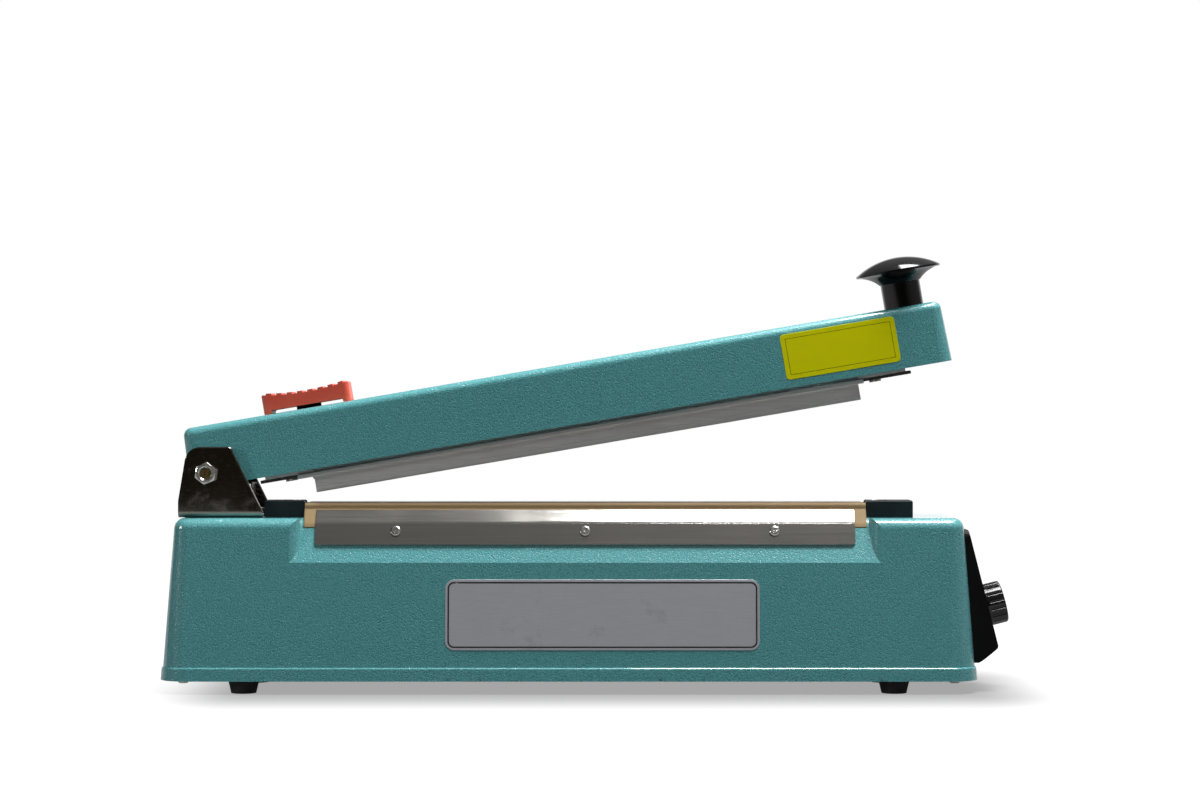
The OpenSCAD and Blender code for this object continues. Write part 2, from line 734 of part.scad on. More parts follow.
// Space cut away above the ledges, and the same space grown for the walls behind it
module recess() {
    difference() {
        mirrored_y() recess_plan();
        ledge_body(0);
    }
}
module recess_plan() {
    half = recess_l / 2;
    far = base_w / 2;
    deep = bar_gap;
    face = side_half(ledge_z);
    blend = recess_edge_r / 40;
    translate([0, -face, ledge_z]) rotate([-base_draft, 0, 0]) linear_extrude(ledge_drop + base_wall)
        difference() {
            translate([-half - recess_edge_r, -far])
                square([2 * (half + recess_edge_r), far + face - deep]);
            for (s = [-1, 1]) translate([s * (half + recess_edge_r), recess_edge_r - blend]) {
                circle(recess_edge_r);
                translate([-recess_edge_r, 0]) square([2 * recess_edge_r, face]);
            }
        }
}
module ledge_body(shrink) {
    translate([0, 0, ledge_z]) along_x(base_l) drafted_profile(
        ledge_half - shrink / cos(ledge_lean), ledge_drop - shrink, ledge_lean, ledge_edge_r - shrink);
    translate([-base_l / 2, -base_w, ledge_z - body_h]) cube([base_l, 2 * base_w, body_h]);
}

// Room inside the housing, less the walls behind the ledges and the four corner posts
module housing_cavity() {
    inner_half = recess_l / 2 + recess_edge_r / 3 + base_wall;
    difference() {
        translate([base_x, 0, foot_h]) cast_hollow(body_l - 2 * base_wall, body_w - 2 * base_wall,
            body_h - base_wall, base_draft, base_wall);
        difference() {
            translate([-inner_half, -base_w / 2, ledge_z]) cube([2 * inner_half, base_w, ledge_drop]);
            ledge_body(base_wall);
        }
        translate([base_x, 0, deck_z / 2]) corners((base_l - post_w) / 2, (base_w - post_w) / 2)
            cube([post_w, post_w, deck_z], center = true);
    }
}
module cast_section() {
    foot = $half - rim_lip;
    polygon(both_sides(concat(
        drafted_side($half, rim_h, base_draft, rim_edge_r),
        [[foot - rim_h * tan(base_draft), rim_h]],
        without_first(drafted_side(foot, body_h, base_draft, base_edge_r)))));
}

module base_housing() {
    color(paint) difference() {
        translate([base_x, 0, foot_h]) cast_block(base_l, base_w, rim_corner_r) cast_section();
        recess();
        housing_cavity();
        translate([base_x, 0, foot_h - cut]) rounded_plate(
            base_l - 2 * plate_inset + 2 * fit_gap, base_w - 2 * plate_inset + 2 * fit_gap,
            plate_corner_r + fit_gap, plate_t + cut);
        plate_screw_places() translate([0, 0, plate_screw_bite / 2]) hole(screw_d, plate_screw_bite);
        retainer_places() hole(screw_d, 4 * base_wall);
        bar_screw_places() hole(screw_d, 4 * base_wall);
        bracket_screw_places() hole(bracket_screw_d, 4 * base_wall);
        translate([rod_x, 0, deck_z]) cylinder(4 * base_wall, d = rod_d + 2, center = true);
        on_rear_wall(cord_x, cord_z) hole(grommet_neck_d, 4 * base_wall);
        translate([handle_wall(deck_z) - 2 * base_wall, -window_w / 2, window_z[0]])
            cube([body_w, window_w, window_z[1] - window_z[0]]);
        panel_screw_places() hole(screw_d, 6 * base_wall);
    }
}

module plate_screw_places() {
    translate([base_x, 0, floor_z]) corners(base_l / 2 - post_inset, base_w / 2 - post_inset) children();
}
module retainer_places() {
    for (i = [-1:1])
        on_ledge(i * retainer_pitch, deck_z - retainer_screw_drop, cover_t + retainer_t) children();
}
module bar_screw_places() {
    for (i = [-1:1]) mirrored_y()
        translate([i * bar_screw_pitch, -(bar_w + bar_gap) / 4, roof_z]) children();
}
module bracket_screw_places() {
    for (x = [-bracket_tail + bracket_screw_in, bracket_nose - bracket_screw_nose]) mirrored_y()
        translate([pivot_x + x, ear_in - bracket_screw_in, bracket_floor_z]) children();
}
module panel_screw_places() {
    mirrored_y() translate([handle_wall(panel_screw_z) - base_wall, panel_screw_y, panel_screw_z])
        rotate([0, -90 - base_draft, 0]) children();
}

module bottom_plate() {
    color(dark_steel) difference() {
        translate([base_x, 0, foot_h]) rounded_plate(
            base_l - 2 * plate_inset, base_w - 2 * plate_inset, plate_corner_r, plate_t);
        plate_screw_places() hole(screw_d, 4 * plate_t);
        foot_places() hole(screw_d, 4 * plate_t);
        strap_screw_places() hole(bracket_screw_d, 6 * plate_t);
        for (s = [-1, 1], i = [0:vent_count - 1])
            translate([s * vent_x + (i - (vent_count - 1) / 2) * vent_pitch, 0, foot_h])
                cube([vent_w, vent_l, 4 * plate_t], center = true);
    }
}

module bottom_plate_screws() {
    color(steel) translate([0, 0, -plate_t]) plate_screw_places() mirror([0, 0, 1])
        pan_screw(plate_screw_bite + plate_t - cut);
}

module foot_places() { translate([base_x, 0, floor_z]) corners(foot_x, foot_y) children(); }

module rubber_feet() {
    bore = screw_head_d / 2 + 0.5;
    seat = foot_h / 2;
    color(rubber) translate([0, 0, -floor_z]) foot_places() rotate_extrude() polygon([
        [bore, 0], [foot_low_d / 2, 0], [foot_top_d / 2, foot_h],
        [screw_d / 2 + fit_gap, foot_h], [screw_d / 2 + fit_gap, seat], [bore, seat]]);
}

module foot_screws() {
    color(steel) translate([0, 0, foot_h / 2 - floor_z]) foot_places() mirror([0, 0, 1])
        pan_screw(foot_h / 2 + plate_t + 2);
}

module bracket_section() {
    outer = box_points([-ear_out, ear_out], [0, pivot_rise + ear_rise]);
    inner = box_points([-ear_in, ear_in], [bracket_t, body_h]);
    inside_r = bracket_bend_r - bracket_t;
    difference() {
        polygon(rounded(outer, [bracket_bend_r, bracket_bend_r, 0, 0]));
        polygon(rounded(inner, [inside_r, inside_r, 0, 0]));
    }
}

module ear_outline() {
    low = -pivot_rise;
    points = [
        [-bracket_tail, low], [bracket_nose, low], [bracket_nose, low + bracket_bend_r],
        [ear_top, ear_rise], [-(bracket_tail - 5), ear_rise], [-bracket_tail, low + lip_h]];
    polygon(rounded(points, [0, 0, 1, 2, ear_round_r, 3]));
}

module hinge_bracket() {
    color(steel) difference() {
        union() {
            intersection() {
                translate([pivot_x + (bracket_nose - bracket_tail) / 2, 0, deck_z])
                    along_x(bracket_nose + bracket_tail) bracket_section();
                translate([pivot_x, 0, pivot_z]) along_y(3 * ear_out) ear_outline();
            }
            translate([pivot_x - bracket_tail, -ear_in + bracket_bend_r, deck_z])
                cube([bracket_t, 2 * (ear_in - bracket_bend_r), lip_h]);
        }
        translate([pivot_x, 0, pivot_z]) rotate([90, 0, 0]) hole(pivot_d, 3 * ear_out);
        bracket_screw_places() hole(bracket_screw_d, 4 * bracket_t);
        translate([rod_x, 0, deck_z]) cylinder(4 * bracket_t, d = rod_d + 2 * run_gap, center = true);
    }
}

module bracket_bolts() {
    color(steel) bracket_screw_places()
        pan_screw(bracket_t + base_wall + 2, bracket_screw_d, screw_head_d + 1.6, screw_head_h + 0.4);
}

module pivot_bolt() {
    head_h = pivot_nut_h * 0.8;
    reach = ear_out + pivot_nut_h - nut_mouth;
    color(steel) translate([pivot_x, 0, pivot_z]) rotate([-90, 0, 0]) {
        translate([0, 0, ear_out]) rotate(nut_turn) cylinder(head_h, d = pivot_flats / cos(30), $fn = 6);
        translate([0, 0, -reach]) cylinder(reach + ear_out, d = pivot_d);
    }
}

module pivot_nut() {
    corner_r = pivot_flats / 2 / cos(30);
    bevel = 0.2 * pivot_flats;
    color(steel) translate([pivot_x, -ear_out, pivot_z]) rotate([90, 0, 0]) difference() {
        intersection() {
            rotate(nut_turn) cylinder(pivot_nut_h, r = corner_r, $fn = 6);
            rotate_extrude() polygon([[0, 0], [corner_r + cut, 0], [corner_r + cut, pivot_nut_h - bevel / 2],
                [corner_r + cut - bevel, pivot_nut_h], [0, pivot_nut_h]]);
        }
        translate([0, 0, -cut]) cylinder(pivot_nut_h + 2 * cut, d = pivot_d + 2 * fit_gap);
        translate([0, 0, pivot_nut_h - nut_mouth])
            cylinder(2 * nut_mouth, d1 = pivot_d, d2 = pivot_d + 4 * nut_mouth);
    }
}

module pivot_washers() {
    color("white") translate([pivot_x, 0, pivot_z]) mirrored_y() rotate([90, 0, 0])
        translate([0, 0, ear_in - washer_t]) difference() {
            cylinder(washer_t, d = washer_d);
            translate([0, 0, -cut]) cylinder(washer_t + 2 * cut, d = pivot_d + 2 * fit_gap);
        }
}

// Rubber block that the arm's tail lands on when the arm opens
module stop_buffer() {
    color(rubber) difference() {
        translate([pivot_x - bracket_tail + bracket_t + 0.3, -arm_w / 4, bracket_floor_z])
            cube([bracket_tail - arm_tail + arm_wall, arm_w / 2, pivot_rise]);
        on_arm() translate([-base_w, -base_w, -arm_drop - 0.3]) cube(2 * base_w);
    }
}

module bar_body() {
    outline = box_points([bar_gap / 2, bar_w / 2], [deck_z, bar_top]);
    along_x(bar_l) polygon(rounded(outline, [0, 0, bar_edge_r, 0]));
}

module sealing_bar() {
    depth = insulation_t + ribbon_t;
    color(alloy) difference() {
        mirror([0, 1, 0]) bar_body();
        translate([-bar_l, -seal_y - insulation_w / 2 - fit_gap, bar_top - depth])
            cube([2 * bar_l, insulation_w + 2 * fit_gap, 2 * depth]);
        bar_screw_places() hole(screw_d, 2 * (base_wall + bar_screw_bite));
    }
}

module film_bar() {
    color(alloy) difference() {
        bar_body();
        bar_screw_places() hole(screw_d, 2 * (base_wall + bar_screw_bite));
    }
}

module bar_screws() {
    color(steel) bar_screw_places() mirror([0, 0, 1]) pan_screw(base_wall + bar_screw_bite - fit_gap);
}

module insulating_strip() {
    color([0.85, 0.80, 0.68])
        translate([-bar_l / 2, -seal_y - insulation_w / 2, bar_top - insulation_t - ribbon_t])
            cube([bar_l, insulation_w, insulation_t]);
}

module heating_ribbon() {
    l = bar_l + 2 * (block_gap + ribbon_tail);
    lug_w = notch_w - cut;
    color([0.55, 0.53, 0.50]) difference() {
        translate([0, -seal_y, bar_top - ribbon_t]) {
            translate([-l / 2, -ribbon_w / 2, 0]) cube([l, ribbon_w, ribbon_t]);
            for (s = [-1, 1]) translate([s * (l - ribbon_tail) / 2, 0, 0])
                rounded_plate(ribbon_tail, lug_w, ribbon_w / 2, ribbon_t);
        }
        terminal_screw_places() hole(screw_d, 2 * terminal_bite);
    }
}

module ptfe_cover() {
    color([0.62, 0.50, 0.36]) difference() {
        along_x(bar_l) polygon(concat(cover_path(0), reverse(cover_path(cover_t))));
        retainer_places() hole(screw_d, 4 * base_wall);
    }
}

module front_retainer() {
    low = deck_z - retainer_drop;
    high = deck_z + retainer_rise;
    r = retainer_corner_r;
    l = seal_l + 2 * retainer_over;
    front = box_points([-l / 2, l / 2], [low, high]);
    color(steel) difference() {
        intersection() {
            along_x(l)
                polygon(concat(retainer_path(cover_t), reverse(retainer_path(cover_t + retainer_t))));
            along_y(2 * base_w) polygon(rounded(front, [r, r, 0, 0]));
        }
        retainer_places() hole(screw_d, 4 * base_wall);
    }
}

module retainer_screws() {
    color(steel) retainer_places() pan_screw(cover_t + retainer_t + base_wall + 2);
}

module terminal_block(l) {
    side = box_points([0, l], [deck_z, deck_z + block_h]);
    end = box_points([-block_front, -block_back], [deck_z, deck_z + block_h]);
    r = block_edge_r;
    difference() {
        intersection() {
            along_y(3 * block_front) polygon(rounded(side, [0, 0, r, r]));
            along_x(3 * l) polygon(rounded(end, [0, 0, r, r]));
        }
        translate([-cut, -seal_y - notch_w / 2, bar_top - ribbon_t])
            cube([notch_l + cut, notch_w, block_h]);
        translate([-block_x, 0, 0]) terminal_screw_places() hole(screw_d, 2 * terminal_bite);
    }
}

module hinge_terminal_block() {
    color(black) translate([-block_x, 0, 0]) mirror([1, 0, 0]) terminal_block(hinge_block_l);
}
module handle_terminal_block() { color(black) translate([block_x, 0, 0]) terminal_block(block_l); }

module terminal_screw_places() {
    for (s = [0, 1]) mirror([s, 0, 0]) translate([block_x + ribbon_tail / 2, -seal_y, bar_top]) children();
}

module terminal_screws() {
    color(steel) terminal_screw_places() pan_screw(terminal_bite - fit_gap, head_h = 0.9 * screw_head_h);
}

function panel_outline(inset) = [
    [handle_wall(panel_foot) - inset * 4, panel_foot + inset],
    [handle_wall(panel_foot) + panel_foot_t - inset, panel_foot + inset],
    [panel_low_x - inset / cos(panel_lean), panel_low],
    [panel_top_x + inset * tan(panel_lean) - inset / cos(panel_lean), panel_top - inset],
    [handle_wall(panel_top) - inset * 4, panel_top - inset]];

module control_housing() {
    inner_w = panel_w - 2 * panel_wall;
    side = box_points([-panel_w / 2, panel_w / 2], [panel_foot, panel_top]);
    r = panel_corner_r;
    color(black) difference() {
        union() {
            difference() {
                intersection() {
                    along_y(panel_w) polygon(rounded(panel_outline(0), [0, 1, 2.5, 1.2, 0]));
                    translate([handle_wall(panel_foot), 0, 0]) along_x(panel_w)
                        polygon(rounded(side, [r, r, r, r]));
                }
                along_y(inner_w) polygon(panel_outline(panel_wall));
            }
            intersection() {
                panel_screw_places() mirror([0, 0, 1]) cylinder(panel_w, d = 2 * screw_d);
                along_y(panel_w) polygon(panel_outline(panel_wall / 2));
            }
        }
        end_wall_behind_panel();
        panel_screw_places() hole(screw_d, 2 * (base_wall + panel_boss_l - cut));
        on_panel() hole(pot_neck_d, 6 * panel_wall);
        on_panel(lamp_up) hole(lamp_d, 6 * panel_wall);
    }
}

// Half space behind the drafted end wall of the housing
module end_wall_behind_panel() {
    translate([handle_wall(foot_h), 0, foot_h]) rotate([0, -base_draft, 0])
        translate([-2 * base_w, -base_w, -base_w]) cube([2 * base_w, 2 * base_w, 4 * base_w]);
}

module control_housing_screws() {
    color(steel) panel_screw_places() pan_screw(base_wall + panel_boss_l - 2 * cut);
}

module signal_lamp() {
    color([0.75, 0.08, 0.06]) on_panel(lamp_up) {
        translate([0, 0, -panel_wall - 3]) cylinder(panel_wall + 3 + lamp_proud, d = lamp_d);
        translate([0, 0, -panel_wall - 3]) cylinder(3, d = lamp_d + 2);
    }
}

module timer_potentiometer() {
    color(steel) on_panel() difference() {
        union() {
            translate([0, 0, -panel_wall - pot_h]) cylinder(pot_h, d = pot_d);
            translate([0, 0, -panel_wall]) cylinder(panel_wall + pot_neck_h, d = pot_neck_d);
        }
        translate([0, 0, shaft_low]) cylinder(2 * pot_h + pot_d, d = timer_shaft_d + 2 * run_gap);
    }
}

module potentiometer_nut() {
    color(steel) on_panel() difference() {
        cylinder(2, d = (pot_neck_d + 3) / cos(30), $fn = 6);
        translate([0, 0, -cut]) cylinder(2 + 2 * cut, d = pot_neck_d + 2 * fit_gap);
    }
}

module timer_board() {
    l = (window_z[1] - window_z[0]) - 4 * board_margin;
    w = window_w - 2 * board_margin;
    color([0.10, 0.35, 0.16]) on_panel(l / 2 - board_low)
        translate([0, 0, -panel_wall - pot_h - board_t / 2]) cube([l, w, board_t], center = true);
}

module board_components() {
    back = -panel_wall - pot_h - board_t;
    color([0.15, 0.25, 0.55]) on_panel() {
        translate([0, -relay_h / 3, back - relay_h / 2]) cube([relay_h, relay_h, relay_h], center = true);
        for (x = [-capacitor_d, capacitor_d / 2]) translate([x, 1.2 * capacitor_d, back - relay_h])
            cylinder(relay_h, d = capacitor_d);
        translate([-2 * capacitor_d, -capacitor_d, back - capacitor_d / 2])
            cube([capacitor_d, capacitor_d / 2, capacitor_d], center = true);
    }
}

module core_drawing() {
    difference() {
        translate([-core_l / 2, 0]) square([core_l, core_h]);
        for (s = [0, 1]) mirror([s, 0]) translate([limb_w, limb_w])
            square([core_l / 2 - 2 * limb_w, core_h - 2 * limb_w]);
    }
}

module transformer_core() {
    color([0.40, 0.40, 0.42]) translate([transformer_x, 0, floor_z]) along_y(core_w) core_drawing();
}

module transformer_winding() {
    g = winding_gap;
    l = core_l - 2 * limb_w - 2 * g;
    w = core_w + 2 * winding_out;
    h = core_h - 2 * limb_w - 2 * g;
    color([0.55, 0.30, 0.12]) translate([transformer_x, 0, floor_z + limb_w + g]) difference() {
        rounded_plate(l, w, 3, h);
        translate([0, 0, h / 2]) cube([2 * (limb_w + g), core_w + 2 * g, 2 * h], center = true);
    }
}

module transformer_strap() {
    half = core_l / 2 + fit_gap;
    top = core_h + fit_gap;
    t = strap_t;
    inside = [[half + strap_foot, 0], [half, 0], [half, top]];
    outside = [[half + strap_foot, t], [half + t, t], [half + t, top + t]];
    color(steel) difference() {
        translate([transformer_x, 0, floor_z]) along_y(0.85 * core_w)
            polygon(concat(both_sides(inside), reverse(both_sides(outside))));
        strap_screw_places() hole(bracket_screw_d, 6 * plate_t);
    }
}

module strap_screw_places() {
    reach = (core_l + strap_foot + strap_t) / 2;
    for (s = [-1, 1]) translate([transformer_x + s * reach, 0, floor_z + strap_t]) children();
}

module transformer_screws() {
    color(steel) strap_screw_places() pan_screw(strap_t + plate_t, bracket_screw_d, 1.8 * bracket_screw_d);
}

// The switch stands under the rod, on a bracket that hangs from the roof
module micro_switch() {
    cheek = switch_w / 5;
    color([0.12, 0.12, 0.13]) difference() {
        union() {
            translate([switch_x[0], -switch_w / 2, switch_top - switch_h])
                cube([switch_l, switch_w, switch_h]);
            translate([lever_pin_x, 0, lever_pin_z]) rotate([90, 0, 0])
                cylinder(switch_w, d = lever_pin_d, center = true);
            mirrored_y() translate([lever_pin_x - cheek, switch_w / 2 - cheek, switch_top])
                cube([2 * cheek, cheek, lever_pin_z - switch_top + cheek / 2]);
            translate([rod_x - rod_d, 0, switch_top - cut]) cylinder(cut + cheek / 2, d = cheek);
        }
        switch_screw_places() cylinder(3 * switch_w, d = screw_d, center = true);
    }
}

module switch_screw_places() {
    for (x = [switch_x[0] + switch_l / 4, switch_x[1] - switch_l / 4])
        translate([x, 0, switch_top - switch_h / 2]) rotate([90, 0, 0]) children();
}

module switch_bracket() {
    y = switch_w / 2;
    out = y + switch_w;
    t = switch_plate_t;
    low = switch_top - switch_h;
    color(steel) difference() {
        translate([(switch_x[0] + switch_x[1]) / 2, 0, 0]) along_x(switch_l) polygon([
            [y, low], [y + t, low], [y + t, roof_z - t], [out, roof_z - t], [out, roof_z], [y, roof_z]]);
        switch_screw_places() cylinder(4 * switch_w, d = screw_d, center = true);
        bracket_screw_places() cylinder(8 * bracket_t, d = bracket_screw_d + cut, center = true);
    }
}

module switch_lever() {
    eye = switch_w / 2;
    color(steel) translate([lever_pin_x, 0, lever_pin_z]) rotate([90, -lever_angle, 0]) difference() {
        union() {
            cylinder(eye, r = lever_eye_r, center = true);
            translate([0, 0, -eye / 2]) cube([lever_arm + rod_d, lever_t, eye]);
        }
        cylinder(2 * eye, d = lever_pin_d + 2 * run_gap, center = true);
    }
}

module cord_grommet() {
    bore = cord_d / 2;
    neck = grommet_neck_d / 2;
    lip = grommet_lip;
    wall = base_wall * cos(base_draft);
    color(rubber) on_rear_wall(cord_x, cord_z) rotate_extrude() polygon([
        [bore, -wall - lip], [neck + lip, -wall - lip], [neck + lip, -wall], [neck, -wall],
        [neck, 0], [neck + 1.5 * lip, 0], [neck + lip, lip], [bore, lip]]);
}

module return_spring() {
    color(steel) translate([rod_x, 0, bracket_floor_z])
        spring(return_coil_d, return_wire, rod_seat - bracket_floor_z, return_curls);
}

module press_arm() {
    length = arm_end + arm_tail;
    middle = (arm_end - arm_tail) / 2;
    slot_u = [cutter_u - carrier_l / 2 - slot_gap, cutter_u + seal_l + carrier_l / 2 + slot_gap];
    slot_half = carrier_t / 2 + slot_gap;
    lift_half = shoe_w / 2 + slot_gap;
    foot_r = arm_corner_r + arm_h * tan(arm_draft);
    web_half = (arm_w - arm_wall) / 2;
    boss_h = guide_boss_h + arm_wall / 2;
    color(paint) on_arm() difference() {
        union() {
            difference() {
                translate([middle, 0, -arm_drop]) cast_block(length, arm_w, foot_r)
                    drafted_profile($half, arm_h, arm_draft, arm_edge_r);
                translate([middle, 0, -arm_drop]) cast_hollow(length - 2 * arm_wall,
                    arm_w - 2 * arm_wall, arm_h - arm_wall, arm_draft, arm_wall);
            }
            span(web_u_span, [-web_half, web_half], [-arm_drop, -arm_drop + web_t]);
            for (u = guide_u) translate([u, 0, guide_seat]) cylinder(boss_h, d = 2 * guide_d);
            translate([knob_u, 0, guide_seat]) cylinder(boss_h, d = 2 * knob_screw_d);
        }
        span(slot_u, [-slot_half, slot_half], [0, arm_h]);
        span([slot_u[1] - carrier_l - 2 * slot_gap, slot_u[1]], [-lift_half, lift_half], [0, arm_h]);
        rotate([90, 0, 0]) hole(bush_d, 2 * arm_w);
        for (u = guide_u) translate([u, 0, guide_seat]) hole(guide_d, 2 * guide_boss_h);
        translate([knob_u, 0, arm_roof]) hole(knob_screw_d, 4 * guide_boss_h);
    }
}

module arm_knob() {
    under = arm_top + knob_rim_h;
    crown_r = (pow(knob_rim_r, 2) + pow(knob_crown_h, 2)) / (2 * knob_crown_h);
    rim_top = under + knob_rim_t;
    flare_c = [knob_rim_r + 0.9, under - sqrt(pow(knob_flare_r, 2) - pow(0.9, 2))];
    color(black) on_arm() translate([knob_u, 0, 0]) difference() {
        rotate_extrude() {
            translate([0, arm_top]) square([knob_stem_r, knob_rim_h]);
            difference() {
                translate([0, under - knob_flare_r / 2])
                    square([knob_rim_r, knob_flare_r / 2 + knob_rim_t]);
                translate(flare_c) circle(knob_flare_r);
                translate([knob_stem_r, arm_top]) square([knob_rim_r, knob_rim_h - knob_flare_r / 3]);
            }
            intersection() {
                translate([0, rim_top + knob_crown_h - crown_r]) circle(crown_r, $fn = 128);
                translate([0, rim_top]) square(knob_rim_r);
            }
        }
        translate([0, 0, arm_top]) hole(knob_screw_d, 2 * knob_screw_bite);
    }
}

module knob_screw() {
    l = knob_screw_bite - fit_gap + arm_top - guide_seat;
    color(steel) on_arm() translate([knob_u, 0, guide_seat]) mirror([0, 0, 1])
        pan_screw(l, knob_screw_d, 2 * knob_screw_d - cut, knob_screw_d / 2);
}

module pivot_bush() {
    half = ear_in - washer_t - run_gap;
    color(steel) on_arm() rotate([90, 0, 0]) difference() {
        cylinder(2 * half, d = bush_d, center = true);
        cylinder(4 * half, d = pivot_d + 2 * run_gap, center = true);
    }
}

module guide_bolts() {
    color(steel) on_arm() for (u = guide_u) translate([u, 0, 0]) {
        translate([0, 0, hanger_low - run_gap]) cylinder(arm_roof - hanger_low, d = guide_d);
        translate([0, 0, hanger_low - run_gap - guide_head_h]) cylinder(guide_head_h, d = guide_head_d);
    }
}

module guide_springs() {
    color(steel) on_arm() for (u = guide_u) translate([u, 0, hanger_top])
        spring(guide_coil_d, guide_wire, guide_seat - hanger_top, guide_curls);
}

module hanger_plates() {
    half = hanger_w / 2;
    gap = fit_gap;
    color(dark_steel) on_arm() difference() {
        for (u = [[hanger_u[0], flange_u[0] - gap], [flange_u[1] + gap, hanger_u[1]]])
            span(u, [-half, half], [hanger_low, hanger_top]);
        for (u = guide_u) translate([u, 0, hanger_top])
            cylinder(4 * hanger_t, d = guide_d + 2 * run_gap, center = true);
        rail_screw_places() hole(screw_d, 6 * hanger_t);
    }
}

module rail_screw_places() {
    for (u = rail_screw_u) mirrored_y() translate([u, tongue_y, hanger_top + tongue_t]) children();
}

// One press rail on the +Y side: flange, web with the pad's groove, and tongues over the hanger plates
module press_rail() {
    gap = blade_gap / 2;
    flange = box_points([gap, flange_w / 2], [flange_low, hanger_top]);
    ends = [[rail_screw_u[0] - tongue_end, web_u[0]], [web_u[1], rail_screw_u[1] + tongue_end]];
    difference() {
        union() {
            translate([(flange_u[0] + flange_u[1]) / 2, 0, 0]) along_x(flange_u[1] - flange_u[0])
                polygon(rounded(flange, [0, 0.6, 0.6, 0]));
            span(web_u, [gap, rail_w / 2], [pad_top, flange_low]);
            for (u = ends) span(u, [tongue_in, hanger_w / 2], [hanger_top, hanger_top + tongue_t]);
            span(flange_u, [tongue_y, tongue_y + rail_lip_t], [flange_low, hanger_top + rail_lip_h]);
        }
        span([web_u[0] - cut, web_u[1] + cut], [pad_mid - pad_tongue_w / 2, pad_mid + pad_tongue_w / 2],
            [pad_top - cut, pad_top + pad_tongue_h]);
        rail_screw_places() hole(screw_d, 4 * (hanger_t + tongue_t));
    }
}

module front_press_rail() { color(alloy) on_arm() mirror([0, 1, 0]) press_rail(); }
module rear_press_rail() { color(alloy) on_arm() press_rail(); }

module rail_screws() {
    color(steel) on_arm() rail_screw_places() pan_screw(hanger_t + tongue_t);
}

module press_pad() {
    body = box_points([blade_gap / 2 + pad_edge_r / 2, pad_w / 2], [pad_low, pad_top]);
    tongue = pad_tongue_w / 2 - fit_gap;
    translate([(pad_u[0] + pad_u[1]) / 2, 0, 0]) along_x(pad_u[1] - pad_u[0]) {
        polygon(rounded(body, [pad_edge_r, pad_edge_r, 0, 0]));
        translate([pad_mid - tongue, pad_top]) square([2 * tongue, pad_tongue_h - fit_gap]);
    }
}

module front_pad() { color([0.72, 0.72, 0.70]) on_arm() mirror([0, 1, 0]) press_pad(); }
module rear_pad() { color([0.72, 0.72, 0.70]) on_arm() press_pad(); }

module cutter_slider() {
    half = slider_l / 2;
    low = arm_top + slider_rise;
    high = low + slider_h;
    sole = arm_top + fit_gap;
    hollow_r = (pow(half, 2) + pow(slider_hollow, 2)) / (2 * slider_hollow);
    centre_n = high - slider_hollow + hollow_r;
    shoe = half - slider_foot;
    outline = [[-half, sole], [-shoe, sole], [-shoe, low], [shoe, low], [shoe, sole], [half, sole],
        [half, high], [-half, high]];
    color([0.72, 0.08, 0.07]) on_arm() translate([cutter_u, 0, 0]) intersection() {
        along_y(slider_w) {
            difference() {
                polygon(rounded(outline, [0.8, 0.8, 1, 1, 0.8, 0.8, 1.5, 1.5]));
                translate([0, centre_n]) circle(hollow_r, $fn = 256);
            }
            for (i = [0:rib_count - 1]) translate([0, centre_n])
                rotate(asin((i - (rib_count - 1) / 2) * rib_pitch / hollow_r))
                    translate([-rib_w / 2, -hollow_r - rib_h]) square([rib_w, 2 * rib_h]);
        }
        rounded_plate(slider_l, slider_w, slider_corner_r, 2 * high);
    }
}

module blade_carrier() {
    half = carrier_l / 2;
    t = carrier_t / 2;
    slit = blade_t / 2;
    shoe_top = arm_roof - slot_gap;
    color(black) on_arm() translate([cutter_u, 0, 0]) difference() {
        union() {
            span([-half, half], [-t, t], [-carrier_drop, arm_top + slider_rise]);
            span([-half, half], [-shoe_w / 2, shoe_w / 2], [shoe_top - shoe_t, shoe_top]);
        }
        span([-blade_w / 2, blade_w / 2], [-slit, slit], [-carrier_drop - cut, blade_top]);
        translate([0, 0, blade_screw_n]) rotate([90, 0, 0]) hole(blade_pin_d, 4 * carrier_t);
    }
}

module cutter_blade() {
    half = blade_w / 2;
    shoulder = -blade_reach + blade_point;
    color(dark_steel) on_arm() translate([cutter_u, 0, 0]) difference() {
        along_y(blade_t) polygon([
            [-half, blade_top], [-half, shoulder], [0, -blade_reach], [half, shoulder], [half, blade_top]]);
        translate([0, 0, blade_screw_n]) rotate([90, 0, 0]) hole(blade_pin_d, 4 * carrier_t);
    }
}

module blade_screw() {
    color(steel) on_arm() translate([cutter_u, -carrier_t / 2, blade_screw_n]) rotate([90, 0, 0])
        pan_screw(carrier_t, blade_pin_d, 2 * blade_pin_d, blade_pin_d / 2);
}

module timer_knob() {
    r = timer_d / 2;
    flute_r = PI * timer_d / timer_flutes / 4;
    recess_r = (pot_neck_d + 3) / 2 / cos(30) + 1;
    recess_h = pot_neck_h + 0.6;
    color(black) on_panel() translate([0, 0, timer_gap]) difference() {
        rotate_extrude() polygon(concat(
            [[0, 0], [r, 0]],
            arc([r - timer_edge_r, timer_h - timer_edge_r], timer_edge_r, 0, 90),
            [[0, timer_h]]));
        translate([0, 0, -cut]) cylinder(recess_h + cut, r = recess_r);
        cylinder(timer_h - timer_edge_r, d = timer_shaft_d + 2 * fit_gap);
        for (i = [1:timer_flutes]) rotate(360 * i / timer_flutes) translate([r + flute_r / 2, 0, 2.5])
            cylinder(timer_h, r = flute_r, $fn = 24);
    }
}

module timer_shaft() {
    low = shaft_low + run_gap;
    color(alloy) on_panel() translate([0, 0, low])
        cylinder(timer_gap + timer_h - timer_edge_r - fit_gap - low, d = timer_shaft_d);
}

